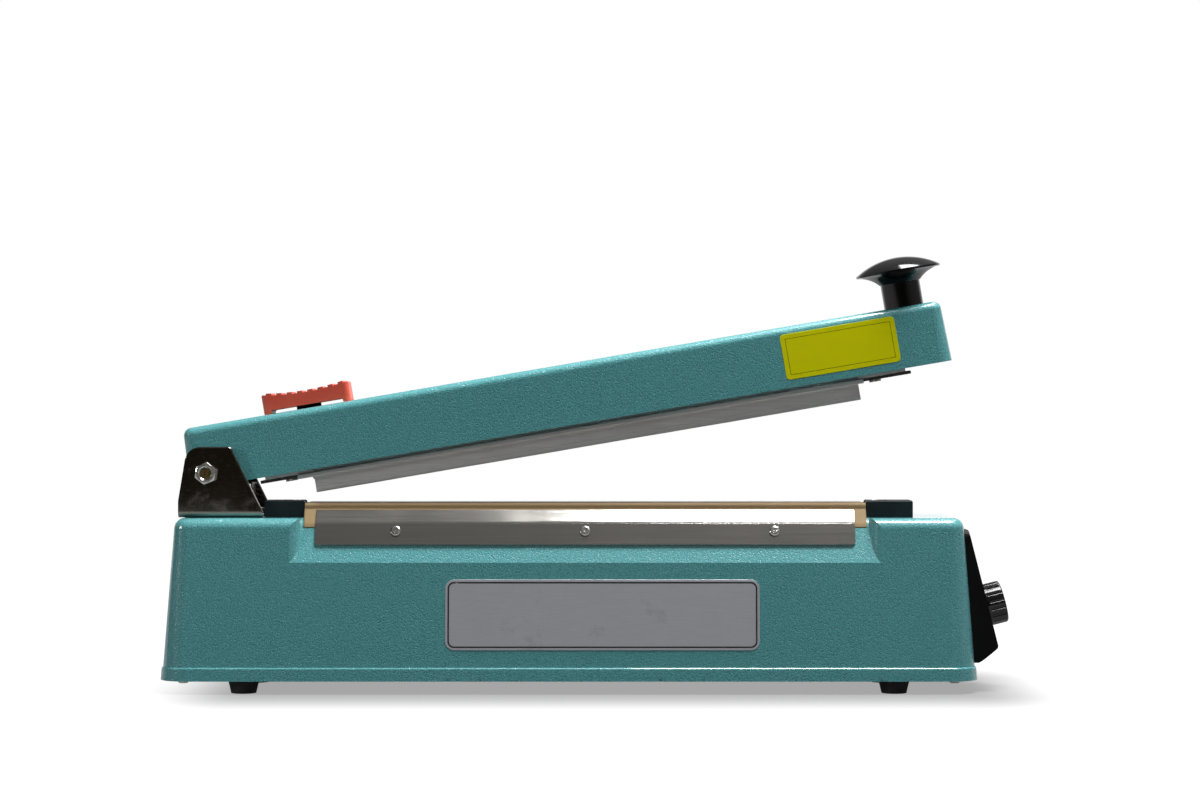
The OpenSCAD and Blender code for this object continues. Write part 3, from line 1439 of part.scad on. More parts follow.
module switch_rod() {
    color(steel) translate([rod_x, 0, 0]) {
        translate([0, 0, rod_low]) cylinder(rod_seat - rod_low + cut, d = rod_d);
        intersection() {
            translate([0, 0, rod_seat]) cylinder(2 * rod_head_h, d = rod_head_d);
            translate([0, 0, rod_top - rod_crown_r]) sphere(rod_crown_r);
        }
    }
}

stand() base_housing();
stand() bottom_plate();
stand() bottom_plate_screws();
stand() rubber_feet();
stand() foot_screws();
stand() hinge_bracket();
stand() bracket_bolts();
stand() pivot_bolt();
stand() pivot_nut();
stand() pivot_washers();
stand() stop_buffer();
stand() sealing_bar();
stand() film_bar();
stand() bar_screws();
stand() insulating_strip();
stand() heating_ribbon();
stand() ptfe_cover();
stand() front_retainer();
stand() retainer_screws();
stand() hinge_terminal_block();
stand() handle_terminal_block();
stand() terminal_screws();
stand() control_housing();
stand() control_housing_screws();
stand() signal_lamp();
stand() timer_potentiometer();
stand() potentiometer_nut();
stand() timer_board();
stand() board_components();
stand() transformer_core();
stand() transformer_winding();
stand() transformer_strap();
stand() transformer_screws();
stand() micro_switch();
stand() switch_bracket();
stand() cord_grommet();
stand() return_spring();
stand() press_arm();
stand() arm_knob();
stand() knob_screw();
stand() pivot_bush();
stand() guide_bolts();
stand() guide_springs();
stand() hanger_plates();
stand() front_press_rail();
stand() rear_press_rail();
stand() rail_screws();
stand() front_pad();
stand() rear_pad();
stand() cutter_slider();
stand() blade_carrier();
stand() cutter_blade();
stand() blade_screw();
stand() timer_knob();
stand() timer_shaft();
stand() switch_rod();
stand() switch_lever();
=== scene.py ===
"""Tabletop heat sealer with a cutter: finishes, soft and wound pieces, light and camera."""
import json
import math

import bpy
import numpy as np
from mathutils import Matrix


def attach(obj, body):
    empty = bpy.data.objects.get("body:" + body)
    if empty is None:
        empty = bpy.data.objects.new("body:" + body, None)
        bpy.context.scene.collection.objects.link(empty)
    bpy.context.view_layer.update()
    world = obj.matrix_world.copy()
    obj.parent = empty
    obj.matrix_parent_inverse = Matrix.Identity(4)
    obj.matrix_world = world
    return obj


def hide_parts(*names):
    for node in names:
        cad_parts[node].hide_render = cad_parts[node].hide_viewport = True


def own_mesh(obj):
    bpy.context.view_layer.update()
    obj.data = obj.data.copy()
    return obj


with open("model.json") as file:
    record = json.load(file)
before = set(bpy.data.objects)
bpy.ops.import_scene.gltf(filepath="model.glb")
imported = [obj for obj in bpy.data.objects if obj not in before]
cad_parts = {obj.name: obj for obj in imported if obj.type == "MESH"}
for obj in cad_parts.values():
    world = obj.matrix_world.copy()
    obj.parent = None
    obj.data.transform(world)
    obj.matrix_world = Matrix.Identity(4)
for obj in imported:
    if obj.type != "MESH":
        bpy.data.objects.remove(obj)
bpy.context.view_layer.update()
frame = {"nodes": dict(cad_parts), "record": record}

MM = 0.001

# ---------------------------------------------------------------- sizes, in millimetres and degrees
STAND_X = -1.451                                   # puts the middle of the CAD box over the origin
OPEN_DEG = 9.65                                    # slope of the arm at rest
ARM_TURN = math.radians(OPEN_DEG)
PIVOT = np.array([STAND_X - 212.8, 0.0, 122.5])
ALONG_ARM = np.array([math.cos(ARM_TURN), 0.0, math.sin(ARM_TURN)])
UP_ARM = np.array([-math.sin(ARM_TURN), 0.0, math.cos(ARM_TURN)])
ACROSS = np.array([0.0, 1.0, 0.0])

# walls that carry the plates
BASE_DRAFT, BODY_HALF, FOOT_H = 4.45, 41.2, 7.25
ARM_DRAFT, ARM_HALF, ARM_DROP = 2.2, 20.0, 7.8
FOIL_X, FOIL_Z = 9.65, 44.0
FOIL_HALF, FOIL_CORNER, FOIL_THICK = (87.45, 19.6), 5.0, 0.25
VINYL_U, VINYL_N = 363.1, 9.5
VINYL_HALF, VINYL_CORNER, VINYL_THICK = (32.6, 12.9), 2.2, 0.18

# sealing bar, ledge and the cloth over them
DECK_Z, BAR_TOP = 97.5, 105.3
BAR_HALF_W, BAR_HALF_L, BAR_EDGE_R = 20.0, 157.8, 1.5
LEDGE_CY, LEDGE_R, LEDGE_LEAN = 20.3, 7.0, 24.679
LEDGE_HALF, LEDGE_Z = 36.091, 72.9
FLARE_RISE, COVER_DROP, COVER_FROM_Y = 4.8, 5.3, -2.5
CLOTH_OUT, CLOTH_IN, CLOTH_STEP = 0.26, 0.02, 0.35
SEAL_Y, RIBBON_HALF_W, RIBBON_HALF_L = -9.0, 1.7, 150.0

# press bar pads
PAD_U, PAD_LOW, PAD_THICK = (58.3, 370.3), -21.3, 3.2
PAD_Y, PAD_ROUND = (2.0, 13.0), 0.8
PAD_KEY_Y, PAD_KEY_HALF, PAD_KEY_RISE = 7.3, 2.45, 1.95

# springs: mean diameter, wire and curls of each coil
GUIDE_U, GUIDE_MID_U = (44.3, 381.3), 210.0
GUIDE_SEAT, HANGER_TOP = 19.7, -9.5
GUIDE_COIL = {"mean_d": 7.6, "wire": 1.1, "curls": 8}
ROD_FOOT, RETURN_H = np.array([STAND_X - 195.8, 0.0, 99.5]), 14.93
RETURN_COIL = {"mean_d": 8.0, "wire": 1.3, "curls": 5}

# timer scale and pointer
DIAL, DIAL_LEAN, KNOB_FACE = np.array([STAND_X + 226.466, 0.0, 46.2]), 14.3, 11.9
DIAL_SWEEP, DIAL_TICKS = 300.0, 15
TICK_NEAR, TICK_LONG, TICK_SHORT, TICK_W = 14.2, 17.0, 15.8, 0.55
POINTER_NEAR, POINTER_FAR, POINTER_W = 4.5, 10.4, 1.0
PRINT_LOW, PRINT_HIGH = 0.01, 0.06

# camera, in metres but for the width of its sensor
EYE_AWAY, FIELD_W, SENSOR = 1.55, 0.66667, 36.0
EYE_X, FRONT_Y, EYE_Z = 0.0083, -0.040, 0.16355

# floor and background
FLOOR_SIDES = 64
WHITE = (1, 1, 1)


# ---------------------------------------------------------------- shader sums and nodes
class Wire:
    """A socket that does sums: an expression on wires adds its Math nodes."""

    def __init__(self, bench, socket):
        self.bench, self.socket = bench, socket

    def sum(self, operation, *terms):
        return self.bench.node("ShaderNodeMath", {"operation": operation}, dict(enumerate(terms)))

    def __add__(self, other):
        return self.sum("ADD", self, other)

    def __sub__(self, other):
        return self.sum("SUBTRACT", self, other)

    def __rsub__(self, other):
        return self.sum("SUBTRACT", other, self)

    def __mul__(self, other):
        return self.sum("MULTIPLY", self, other)

    def __pow__(self, other):
        return self.sum("POWER", self, other)

    def __abs__(self):
        return self.sum("ABSOLUTE", self)

    def above(self, other):
        return self.sum("MAXIMUM", self, other)

    def sine(self):
        return self.sum("SINE", self)

    def ramp(self, low, high, to_low=0.0, to_high=1.0):
        """Smooth step from to_low at low to to_high at high."""
        return self.bench.node(
            "ShaderNodeMapRange", {"interpolation_type": "SMOOTHSTEP", "clamp": True},
            {0: self, 1: low, 2: high, 3: to_low, 4: to_high})

    def band(self, start, full, fade, stop):
        """One between full and fade, nothing before start and after stop."""
        return self.ramp(start, full) * self.ramp(fade, stop, 1.0, 0.0)


class Bench:
    """A node tree and the one method that puts nodes on it."""

    def __init__(self, owner):
        owner.use_nodes = True
        self.tree = owner.node_tree
        self.tree.nodes.clear()

    def node(self, kind, settings=None, sockets=None, out=0):
        """Adds a node: its settings first, a ramp's stops among them, then its sockets; gives one output."""
        made = self.tree.nodes.new(kind)
        for key, value in (settings or {}).items():
            if key == "stops":
                ramp = made.color_ramp
                while len(ramp.elements) < len(value):
                    ramp.elements.new(0.5)
                for stop, (place, tint) in zip(ramp.elements, value):
                    stop.position, stop.color = place, (*tint, 1.0)
            else:
                setattr(made, key, value)
        for key, value in (sockets or {}).items():
            if isinstance(value, Wire):
                self.tree.links.new(value.socket, made.inputs[key])
            else:
                made.inputs[key].default_value = value
        return Wire(self, made.outputs[out]) if made.outputs else None

    def mix(self, share, first, second):
        """Colour between first and second by share."""
        full = [c if isinstance(c, Wire) else (*c, 1.0) for c in (first, second)]
        return self.node("ShaderNodeMix", {"data_type": "RGBA"}, {0: share, 6: full[0], 7: full[1]}, out=2)

    def place(self, stretch=(1, 1, 1), turn_y=0.0, uv=False):
        """Object or UV place in metres, turned about Y and stretched."""
        spot = self.node("ShaderNodeTexCoord", out="UV" if uv else "Object")
        return self.node("ShaderNodeMapping", {"vector_type": "POINT"},
                         {"Vector": spot, "Rotation": (0, turn_y, 0), "Scale": stretch})

    def parts(self, place):
        """X, Y and Z of a place."""
        return [self.node("ShaderNodeSeparateXYZ", None, {0: place}, out=i) for i in range(3)]

    def noise(self, place, scale, detail=2, rough=0.5, out=0):
        """Noise with scale cells to the metre."""
        return self.node("ShaderNodeTexNoise", None,
                         {"Vector": place, "Scale": scale, "Detail": detail, "Roughness": rough}, out=out)

    def bump(self, height, strength, depth, under=None):
        """Normal of a height, depth metres deep, on top of another normal."""
        sockets = {"Height": height, "Strength": strength, "Distance": depth}
        if under:
            sockets["Normal"] = under
        return self.node("ShaderNodeBump", None, sockets)

    def edge(self, radius):
        """Normal that rounds hard edges by a radius in metres."""
        return self.node("ShaderNodeBevel", {"samples": 4}, {"Radius": radius})

    def principled(self, sockets):
        made = self.node("ShaderNodeBsdfPrincipled", None, sockets)
        self.node("ShaderNodeOutputMaterial", None, {"Surface": made})


def new_finish(name):
    made = bpy.data.materials.new(name)
    return made, Bench(made)


# ---------------------------------------------------------------- finishes
def paint_finish():
    """Hammered enamel: low shrunken dimples a millimetre across, dark flake between them, round bowls a
    little wider whose lower rims catch the light, and chips along the bottom rim."""
    made, b = new_finish("hammered_teal_enamel")
    drift_size = 0.0012
    dimple_depth, bowl_depth = 0.00003, 0.00011
    rim_low, rim_high = 0.00735, 0.0102
    spot = b.place()
    drift = b.noise(spot, scale=420, out=1)
    shaken = b.node("ShaderNodeVectorMath", {"operation": "MULTIPLY_ADD"},
                    {0: drift, 1: (drift_size,) * 3, 2: spot})
    cell = b.node("ShaderNodeTexVoronoi", {"feature": "SMOOTH_F1"},
                  {"Vector": shaken, "Scale": 1000, "Smoothness": 0.5})
    bowl = b.node("ShaderNodeTexVoronoi", {"feature": "F1"}, {"Vector": shaken, "Scale": 860})
    fine = b.noise(spot, scale=1700, detail=3, rough=0.6)
    cloud = b.noise(spot, scale=16, detail=3)
    dimple = cell.ramp(0.15, 0.68)
    bowl = bowl.ramp(0.0, 0.48) ** 2.0
    tint = b.node("ShaderNodeValToRGB", {"stops": [
        (0.25, (0.088, 0.330, 0.347)), (0.5, (0.114, 0.398, 0.418)), (0.75, (0.142, 0.462, 0.482))]},
        {0: dimple * 0.45 + fine * 0.55})
    tint = b.mix(cloud.ramp(0.35, 0.65) * 0.22, tint, (0.104, 0.405, 0.425))
    low = b.parts(spot)[2].ramp(rim_low, rim_high, 1.0, 0.0)
    chip = b.noise(spot, scale=210, detail=4, rough=0.65).ramp(0.60, 0.66) * low
    tint = b.mix(chip * 0.7, tint, (0.035, 0.045, 0.045))
    b.principled({
        "Base Color": tint,
        "Roughness": fine * 0.14 + chip * 0.25 + 0.20,
        "Coat Weight": 1.0, "Coat Roughness": 0.05,
        "Normal": b.bump(bowl, 1.0, bowl_depth, b.bump(dimple + fine * 0.3, 1.0, dimple_depth))})
    return made


def metal_finish(name, dark, light, rough, grain, stretch=(1, 1, 1), turn=0.0, bump=0.08, stain=None,
                 metal=1.0):
    """Bare metal: grain drawn out along the stretch, slow stains, and a roughness that follows both."""
    made, b = new_finish(name)
    grain_depth, edge_radius = 0.0001, 0.0003
    line_rough, slow_rough = 0.14, 0.10
    line = b.noise(b.place(stretch, turn), scale=grain, detail=3, rough=0.62)
    slow = b.noise(b.place(), scale=38, detail=3)
    tint = b.mix(line.ramp(0.3, 0.7), dark, light)
    if stain:
        tint = b.mix(slow.ramp(0.52, 0.70) * 0.55, tint, stain)
    b.principled({
        "Base Color": tint, "Metallic": metal,
        "Roughness": line * line_rough + slow * slow_rough + (rough - (line_rough + slow_rough) / 2),
        "Normal": b.bump(line, bump, grain_depth, b.edge(edge_radius))})
    return made


def plastic_finish(name, dark, light, rough, grain, bump=0.12, depth=0.0001, coat=0.0, spread=0.12, shine=0.5,
                   edge=0.0005):
    """Moulded or rubbery skin: fine grain in bump and gloss, handling marks as slow clouds."""
    made, b = new_finish(name)
    spot = b.place()
    skin = b.noise(spot, scale=grain, detail=3, rough=0.6)
    touch = b.noise(spot, scale=55, detail=4, rough=0.6)
    tint = b.mix(touch.ramp(0.35, 0.75) * 0.6 + skin * 0.4, dark, light)
    b.principled({
        "Base Color": tint, "Coat Weight": coat, "Coat Roughness": 0.05, "Specular IOR Level": shine,
        "Roughness": touch.ramp(0.3, 0.7) * spread + skin * 0.06 + (rough - spread / 2),
        "Normal": b.bump(skin, bump, depth, b.edge(edge) if edge else None)})
    return made


def chrome_finish():
    """Bright plate on bent sheet: a slow ripple in the sheet, hairline scratches, faint finger marks."""
    made, b = new_finish("bright_chrome_plate")
    ripple_depth, edge_radius = 0.002, 0.0015
    ripple = b.noise(b.place(), scale=24, detail=1)
    hair = b.noise(b.place(stretch=(1.0, 1.0, 14.0), turn_y=0.5), scale=320, rough=0.7)
    marks = b.noise(b.place(), scale=90, detail=4, rough=0.6)
    b.principled({
        "Base Color": b.mix(marks.ramp(0.4, 0.8), (0.35, 0.33, 0.30), (0.30, 0.28, 0.25)), "Metallic": 1.0,
        "Roughness": marks.ramp(0.5, 0.8) * 0.10 + hair.ramp(0.62, 0.70) * 0.10 + 0.05,
        "Normal": b.bump(ripple, 0.10, ripple_depth, b.edge(edge_radius))})
    return made


def cloth_finish(name, scorched):
    """Coated glass cloth: threads crossing over and under, tan resin, and on the worn cover, whose flat sheet
    gives the threads their place, a seal line browned by the ribbon over its warmed length, with painted
    shade that makes the brown stronger towards the hinge end."""
    made, b = new_finish(name)
    thread = 0.0005
    seal_run = 0.0065
    weave_depth, cloud_depth = 0.00006, 0.0006
    spot = b.place(uv=scorched)
    across, along, _ = b.parts(spot)
    pitch = 2 * math.pi / thread
    weave = (across * pitch).sine() * (along * pitch).sine() * 0.5 + 0.5
    cloud = b.noise(spot, scale=60, detail=4, rough=0.6)
    tint = b.mix(weave * 0.5 + cloud * 0.4, (0.32, 0.215, 0.098), (0.47, 0.35, 0.205))
    if scorched:
        off_seal = abs(along - seal_run)
        # painted shade: the seal-line brown is scaled from 1.6 at the hinge end down to 0.5 at the far end;
        # the cut past the ribbon's ends is real scorch
        ribbon_run_and_hinge_shade = abs(across).ramp(0.147, 0.155, 1.0, 0.0) * across.ramp(-0.15, 0.15, 1.6, 0.5)
        scorch_and_painted_shade = off_seal.ramp(0.0020, 0.0160, 1.0, 0.0) * (cloud * 0.7 + 0.45) * ribbon_run_and_hinge_shade
        tint = b.mix(scorch_and_painted_shade, tint, (0.075, 0.046, 0.016))
        core = off_seal.ramp(0.0008, 0.0019, 1.0, 0.0) * cloud.ramp(0.25, 0.6)
        tint = b.mix(core * 0.6, tint, (0.060, 0.034, 0.016))
    b.principled({
        "Base Color": tint, "Roughness": cloud * 0.2 + weave * 0.1 + 0.36, "Specular IOR Level": 0.12,
        "Normal": b.bump(weave, 0.25, weave_depth, b.bump(cloud, 0.15, cloud_depth))})
    return made


def inside_plate(b, spot, middle, half, corner):
    """Distance in metres inside the edge of a rounded plate that lies in the X and Z of spot."""
    x, _, z = b.parts(spot)
    over_x = abs(x - middle[0]) - (half[0] - corner)
    over_z = abs(z - middle[1]) - (half[1] - corner)
    far = (over_x.above(0.0) ** 2.0 + over_z.above(0.0) ** 2.0) ** 0.5
    near = over_x.above(over_z) * -1.0
    return (near.above(0.0) - far) + corner


def foil_finish(middle, half, corner):
    """Silver foil: fine sparkle, drawn lines, rubbed spots, one printed border line, nothing else on it."""
    made, b = new_finish("silver_foil")
    metal, foil_depth = 0.45, 0.00008
    spot = b.place()
    line = inside_plate(b, spot, middle, half, corner).band(0.0011, 0.0014, 0.0020, 0.0023)
    sparkle = b.noise(spot, scale=2600, rough=0.7)
    drawn = b.noise(b.place(stretch=(1, 1, 22)), scale=120, detail=3, rough=0.65)
    worn = b.noise(spot, scale=45, detail=5, rough=0.65)
    tint = b.mix(sparkle * 0.5 + drawn * 0.5, (0.45, 0.46, 0.50), (0.75, 0.765, 0.81))
    tint = b.mix(worn.ramp(0.60, 0.75) * 0.35, tint, (0.20, 0.19, 0.185))
    tint = b.mix(line * worn.ramp(0.28, 0.34), tint, (0.012, 0.012, 0.013))
    b.principled({
        "Base Color": tint, "Metallic": metal - line * metal,
        "Roughness": sparkle * 0.2 + worn * 0.12 + 0.30,
        "Normal": b.bump(sparkle, 0.10, foil_depth)})
    return made


def yellow_finish(middle, half, corner):
    """Yellow vinyl: one thin printed border, faint rub marks and a slightly uneven face."""
    made, b = new_finish("yellow_vinyl")
    skin_depth = 0.0002
    spot = b.place(turn_y=ARM_TURN)
    rub = b.noise(b.place(stretch=(1, 1, 6), turn_y=ARM_TURN), scale=70, detail=4, rough=0.65)
    skin = b.noise(spot, scale=700)
    line = inside_plate(b, spot, middle, half, corner).band(0.0025, 0.0026, 0.00285, 0.00295)
    tint = b.mix(rub.ramp(0.35, 0.75) * 0.35 + skin * 0.15, (0.86, 0.86, 0.0006), (0.80, 0.78, 0.0008))
    tint = b.mix(line * 0.8, tint, (0.06, 0.06, 0.01))
    b.principled({
        "Base Color": tint, "Roughness": rub * 0.2 + 0.34, "Specular IOR Level": 0.15,
        "Normal": b.bump(skin * 0.5 + rub, 0.06, skin_depth)})
    return made


def lens_finish():
    """Tinted lens: deep red with fine ribs pressed inside it."""
    made, b = new_finish("red_lamp_lens")
    rib_turns, rib_depth = 9000.0, 0.0001
    spot = b.place()
    ribs = (b.parts(spot)[1] * rib_turns).sine() * 0.5 + 0.5
    cloud = b.noise(spot, scale=300)
    b.principled({
        "Base Color": b.mix(ribs * 0.5 + cloud * 0.4, (0.30, 0.004, 0.004), (0.62, 0.02, 0.014)),
        "Roughness": cloud * 0.1 + 0.08, "Coat Weight": 0.5, "Coat Roughness": 0.04,
        "Normal": b.bump(ribs, 0.10, rib_depth)})
    return made


def winding_finish():
    """Varnished winding: copper turns side by side under a clouded varnish."""
    made, b = new_finish("varnished_winding")
    wire_turns, wire_depth = 7800.0, 0.0004
    spot = b.place()
    turns = (b.parts(spot)[2] * wire_turns).sine() * 0.5 + 0.5
    cloud = b.noise(spot, scale=120, detail=3)
    b.principled({
        "Base Color": b.mix(turns * 0.6 + cloud * 0.3, (0.12, 0.035, 0.012), (0.42, 0.15, 0.05)),
        "Roughness": cloud * 0.2 + 0.25, "Coat Weight": 0.3, "Coat Roughness": 0.2,
        "Normal": b.bump(turns, 0.4, wire_depth)})
    return made


ALONG_BAR = (0.02, 1, 1)
finishes = {
    "teal_paint": paint_finish(),
    "dark_steel": metal_finish("blackened_steel", (0.05, 0.048, 0.046), (0.10, 0.097, 0.094),
                               rough=0.42, grain=500, stain=(0.08, 0.055, 0.04)),
    "plated_steel": metal_finish("zinc_plate", (0.62, 0.62, 0.61), (0.78, 0.775, 0.75),
                                 rough=0.20, grain=700, stain=(0.46, 0.43, 0.36)),
    "bright_chrome": chrome_finish(),
    "extruded_aluminium": metal_finish("extruded_aluminium", (0.52, 0.515, 0.505), (0.72, 0.715, 0.70),
                                       rough=0.40, grain=900, stretch=ALONG_BAR, bump=0.15,
                                       stain=(0.50, 0.48, 0.45)),
    "brushed_strip": metal_finish("rolled_strip", (0.53, 0.515, 0.485), (0.56, 0.545, 0.515),
                                  rough=0.14, grain=1300, stretch=(0.012, 1, 1), bump=0.02,
                                  stain=(0.52, 0.50, 0.47)),
    "ribbon_alloy": metal_finish("heated_ribbon", (0.22, 0.19, 0.17), (0.42, 0.37, 0.32),
                                 rough=0.38, grain=800, stretch=ALONG_BAR, stain=(0.14, 0.10, 0.16)),
    "blade_steel": metal_finish("ground_blade", (0.40, 0.40, 0.41), (0.62, 0.62, 0.62),
                                rough=0.22, grain=1500, stretch=(0.05, 1, 1), turn=ARM_TURN, bump=0.12),
    "brass_bush": metal_finish("turned_brass", (0.55, 0.36, 0.12), (0.78, 0.56, 0.24),
                               rough=0.28, grain=1100, stain=(0.34, 0.20, 0.08)),
    "tan_glass_cloth": cloth_finish("coated_glass_cloth", scorched=True),
    "grey_silicone": plastic_finish("grey_silicone", (0.78, 0.78, 0.77), (0.90, 0.90, 0.89),
                                    rough=0.62, grain=1300, bump=0.22, depth=0.00015),
    "black_rubber": plastic_finish("black_rubber", (0.010, 0.010, 0.010), (0.030, 0.029, 0.028),
                                   rough=0.72, grain=900, bump=0.3, depth=0.0003),
    "black_plastic": plastic_finish("black_grained_plastic", (0.0025, 0.0025, 0.0028), (0.007, 0.007, 0.0075),
                                    rough=0.42, grain=1500, bump=0.25, depth=0.00012, shine=0.12),
    "black_gloss": plastic_finish("black_polished_phenolic", (0.003, 0.003, 0.0035), (0.008, 0.008, 0.009),
                                  rough=0.07, grain=700, bump=0.02, spread=0.04, shine=0.6, edge=0.0),
    "red_plastic": plastic_finish("red_moulding", (0.86, 0.110, 0.064), (0.98, 0.165, 0.100),
                                  rough=0.40, grain=1200, bump=0.18, depth=0.00012),
    "white_plastic": plastic_finish("white_nylon", (0.58, 0.57, 0.53), (0.72, 0.71, 0.67),
                                    rough=0.48, grain=800),
    "red_lens": lens_finish(),
    "green_board": plastic_finish("green_laminate", (0.004, 0.060, 0.018), (0.012, 0.14, 0.05),
                                  rough=0.36, grain=400, coat=0.2),
    "blue_plastic": plastic_finish("blue_cases", (0.010, 0.030, 0.16), (0.03, 0.075, 0.30),
                                   rough=0.40, grain=900),
    "wound_copper": winding_finish(),
}
bolt_gold = metal_finish("yellow_zinc", (0.16, 0.11, 0.04), (0.30, 0.22, 0.09),
                         rough=0.26, grain=700, stain=(0.12, 0.08, 0.04))
slate = plastic_finish("slate_moulding", (0.012, 0.019, 0.021), (0.022, 0.031, 0.034),
                       rough=0.40, grain=1500, bump=0.2, shine=0.2)
rail_alloy = metal_finish("anodised_rail", (0.82, 0.815, 0.80), (0.92, 0.915, 0.90),
                          rough=0.46, grain=900, stretch=ALONG_BAR, turn=ARM_TURN, bump=0.06,
                          stain=(0.78, 0.76, 0.73), metal=0.3)
# nodes whose finish differs from that of their slot
OWN_FINISH = {
    "front_press_rail": rail_alloy, "rear_press_rail": rail_alloy,
    "insulating_strip": cloth_finish("bonded_glass_cloth", scorched=False), "pivot_bolt": bolt_gold,
    "hinge_terminal_block": slate, "handle_terminal_block": slate, "timer_knob": finishes["black_gloss"],
}
for part in frame["record"]["subparts"]:
    mesh = frame["nodes"][part["node"]].data
    mesh.materials.clear()
    mesh.materials.append(OWN_FINISH.get(part["node"], finishes[part["material_slot"]]))


# ---------------------------------------------------------------- surfaces
def grid_quads(rows, columns, wrap=False):
    """Quads of a grid of rows by columns points, row by row; wrap joins the last column to the first."""
    i, j = np.meshgrid(np.arange(rows - 1), np.arange(columns if wrap else columns - 1), indexing="ij")
    this, below, k = i * columns, (i + 1) * columns, (j + 1) % columns
    return np.stack([this + j, this + k, below + k, below + j], -1).reshape(-1, 4)


def new_mesh(name, points, faces, finish):
    """A mesh object at the origin from points in millimetres."""
    mesh = bpy.data.meshes.new(name)
    mesh.from_pydata((np.asarray(points) * MM).tolist(), [], [list(map(int, f)) for f in faces])
    mesh.materials.append(finish)
    made = bpy.data.objects.new(name, mesh)
    bpy.context.scene.collection.objects.link(made)
    return made


def new_piece(name, points, faces, finish, body, uv=None, smooth=True):
    """A mesh object that rides on a body; uv is per point."""
    made = new_mesh(name, points, faces, finish)
    mesh = made.data
    mesh.polygons.foreach_set("use_smooth", np.full(len(mesh.polygons), smooth))
    if uv is not None:
        corner = np.zeros(len(mesh.loops), np.int32)
        mesh.loops.foreach_get("vertex_index", corner)
        layer = mesh.uv_layers.new(name="flat")
        layer.data.foreach_set("uv", np.asarray(uv, np.float32)[corner].ravel())
    mesh.update()
    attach(made, body)
    return made


def on_axes(start, first, second, third, a, b, c):
    """Points that lie a, b and c along three directions from a start."""
    a, b, c = np.broadcast_arrays(np.asarray(a, float), b, c)
    return start + a[..., None] * first + b[..., None] * second + c[..., None] * third


def on_arm(u, y, n):
    """Points of the arm's own frame: pivot + u along the arm + y across + n square to it."""
    return on_axes(PIVOT, ALONG_ARM, ACROSS, UP_ARM, u, y, n)


def tube(rings):
    """Points and faces of a row of closed rings, capped at both ends."""
    rows, columns = rings.shape[:2]
    quads = [list(q) for q in grid_quads(rows, columns, wrap=True)]
    caps = [list(range(columns))[::-1], list(range((rows - 1) * columns, rows * columns))]
    return rings.reshape(-1, 3), quads + caps


def joined(several):
    """Points and faces of several closed forms as one."""
    points, faces, shift = [], [], 0
    for more_points, more_faces in several:
        points.append(more_points)
        faces += [[k + shift for k in f] for f in more_faces]
        shift += len(more_points)
    return np.concatenate(points), faces


def arc_points(centre, radius, start, stop, count):
    """Points on a circle from start to stop degrees."""
    a = np.radians(np.linspace(start, stop, count))
    return np.stack([centre[0] + radius * np.cos(a), centre[1] + radius * np.sin(a)], -1)


def spread(path, step):
    """A path's points, taken again at even steps of its length, and the run to each."""
    run = np.concatenate([[0], np.cumsum(np.linalg.norm(np.diff(path, axis=0), axis=1))])
    even = np.linspace(0, run[-1], max(2, int(run[-1] / step)))
    return np.stack([np.interp(even, run, path[:, i]) for i in range(path.shape[1])], -1), even


def cover_path(off):
    """The cover's section at a distance off its seat: bar top, bar edge, free flare, ledge edge, ledge."""
    lean = math.radians(LEDGE_LEAN)
    start = np.array([-(BAR_HALF_W + off), DECK_Z + FLARE_RISE])
    centre = np.array([-LEDGE_CY, DECK_Z - LEDGE_R])
    radius = LEDGE_R + off
    reach = start - centre
    first = math.degrees(math.atan2(reach[1], reach[0]) + math.acos(radius / np.linalg.norm(reach)))
    low_z = DECK_Z - COVER_DROP
    low_y = -(LEDGE_HALF - (low_z - LEDGE_Z) * math.tan(lean) + off / math.cos(lean))
    bar_edge = (-(BAR_HALF_W - BAR_EDGE_R), BAR_TOP - BAR_EDGE_R)
    return np.concatenate([
        [[COVER_FROM_Y, BAR_TOP + off]], arc_points(bar_edge, BAR_EDGE_R + off, 90, 180, 9),
        [start], arc_points(centre, radius, first, 180 - LEDGE_LEAN, 9), [[low_y, low_z]]])


def shell(outer, inner):
    """Closed shell between two grids of the same shape: both faces and a strip round the four edges."""
    rows, columns = outer.shape[:2]
    count = rows * columns
    face = grid_quads(rows, columns)
    k = np.arange(count).reshape(rows, columns)
    edge = np.concatenate([k[0, :-1], k[:-1, -1], k[-1, :0:-1], k[:0:-1, 0]])
    after = np.roll(edge, -1)
    rim = np.stack([edge, edge + count, after + count, after], -1)
    return np.concatenate([outer.reshape(-1, 3), inner.reshape(-1, 3)]), np.concatenate(
        [face, face[:, ::-1] + count, rim])


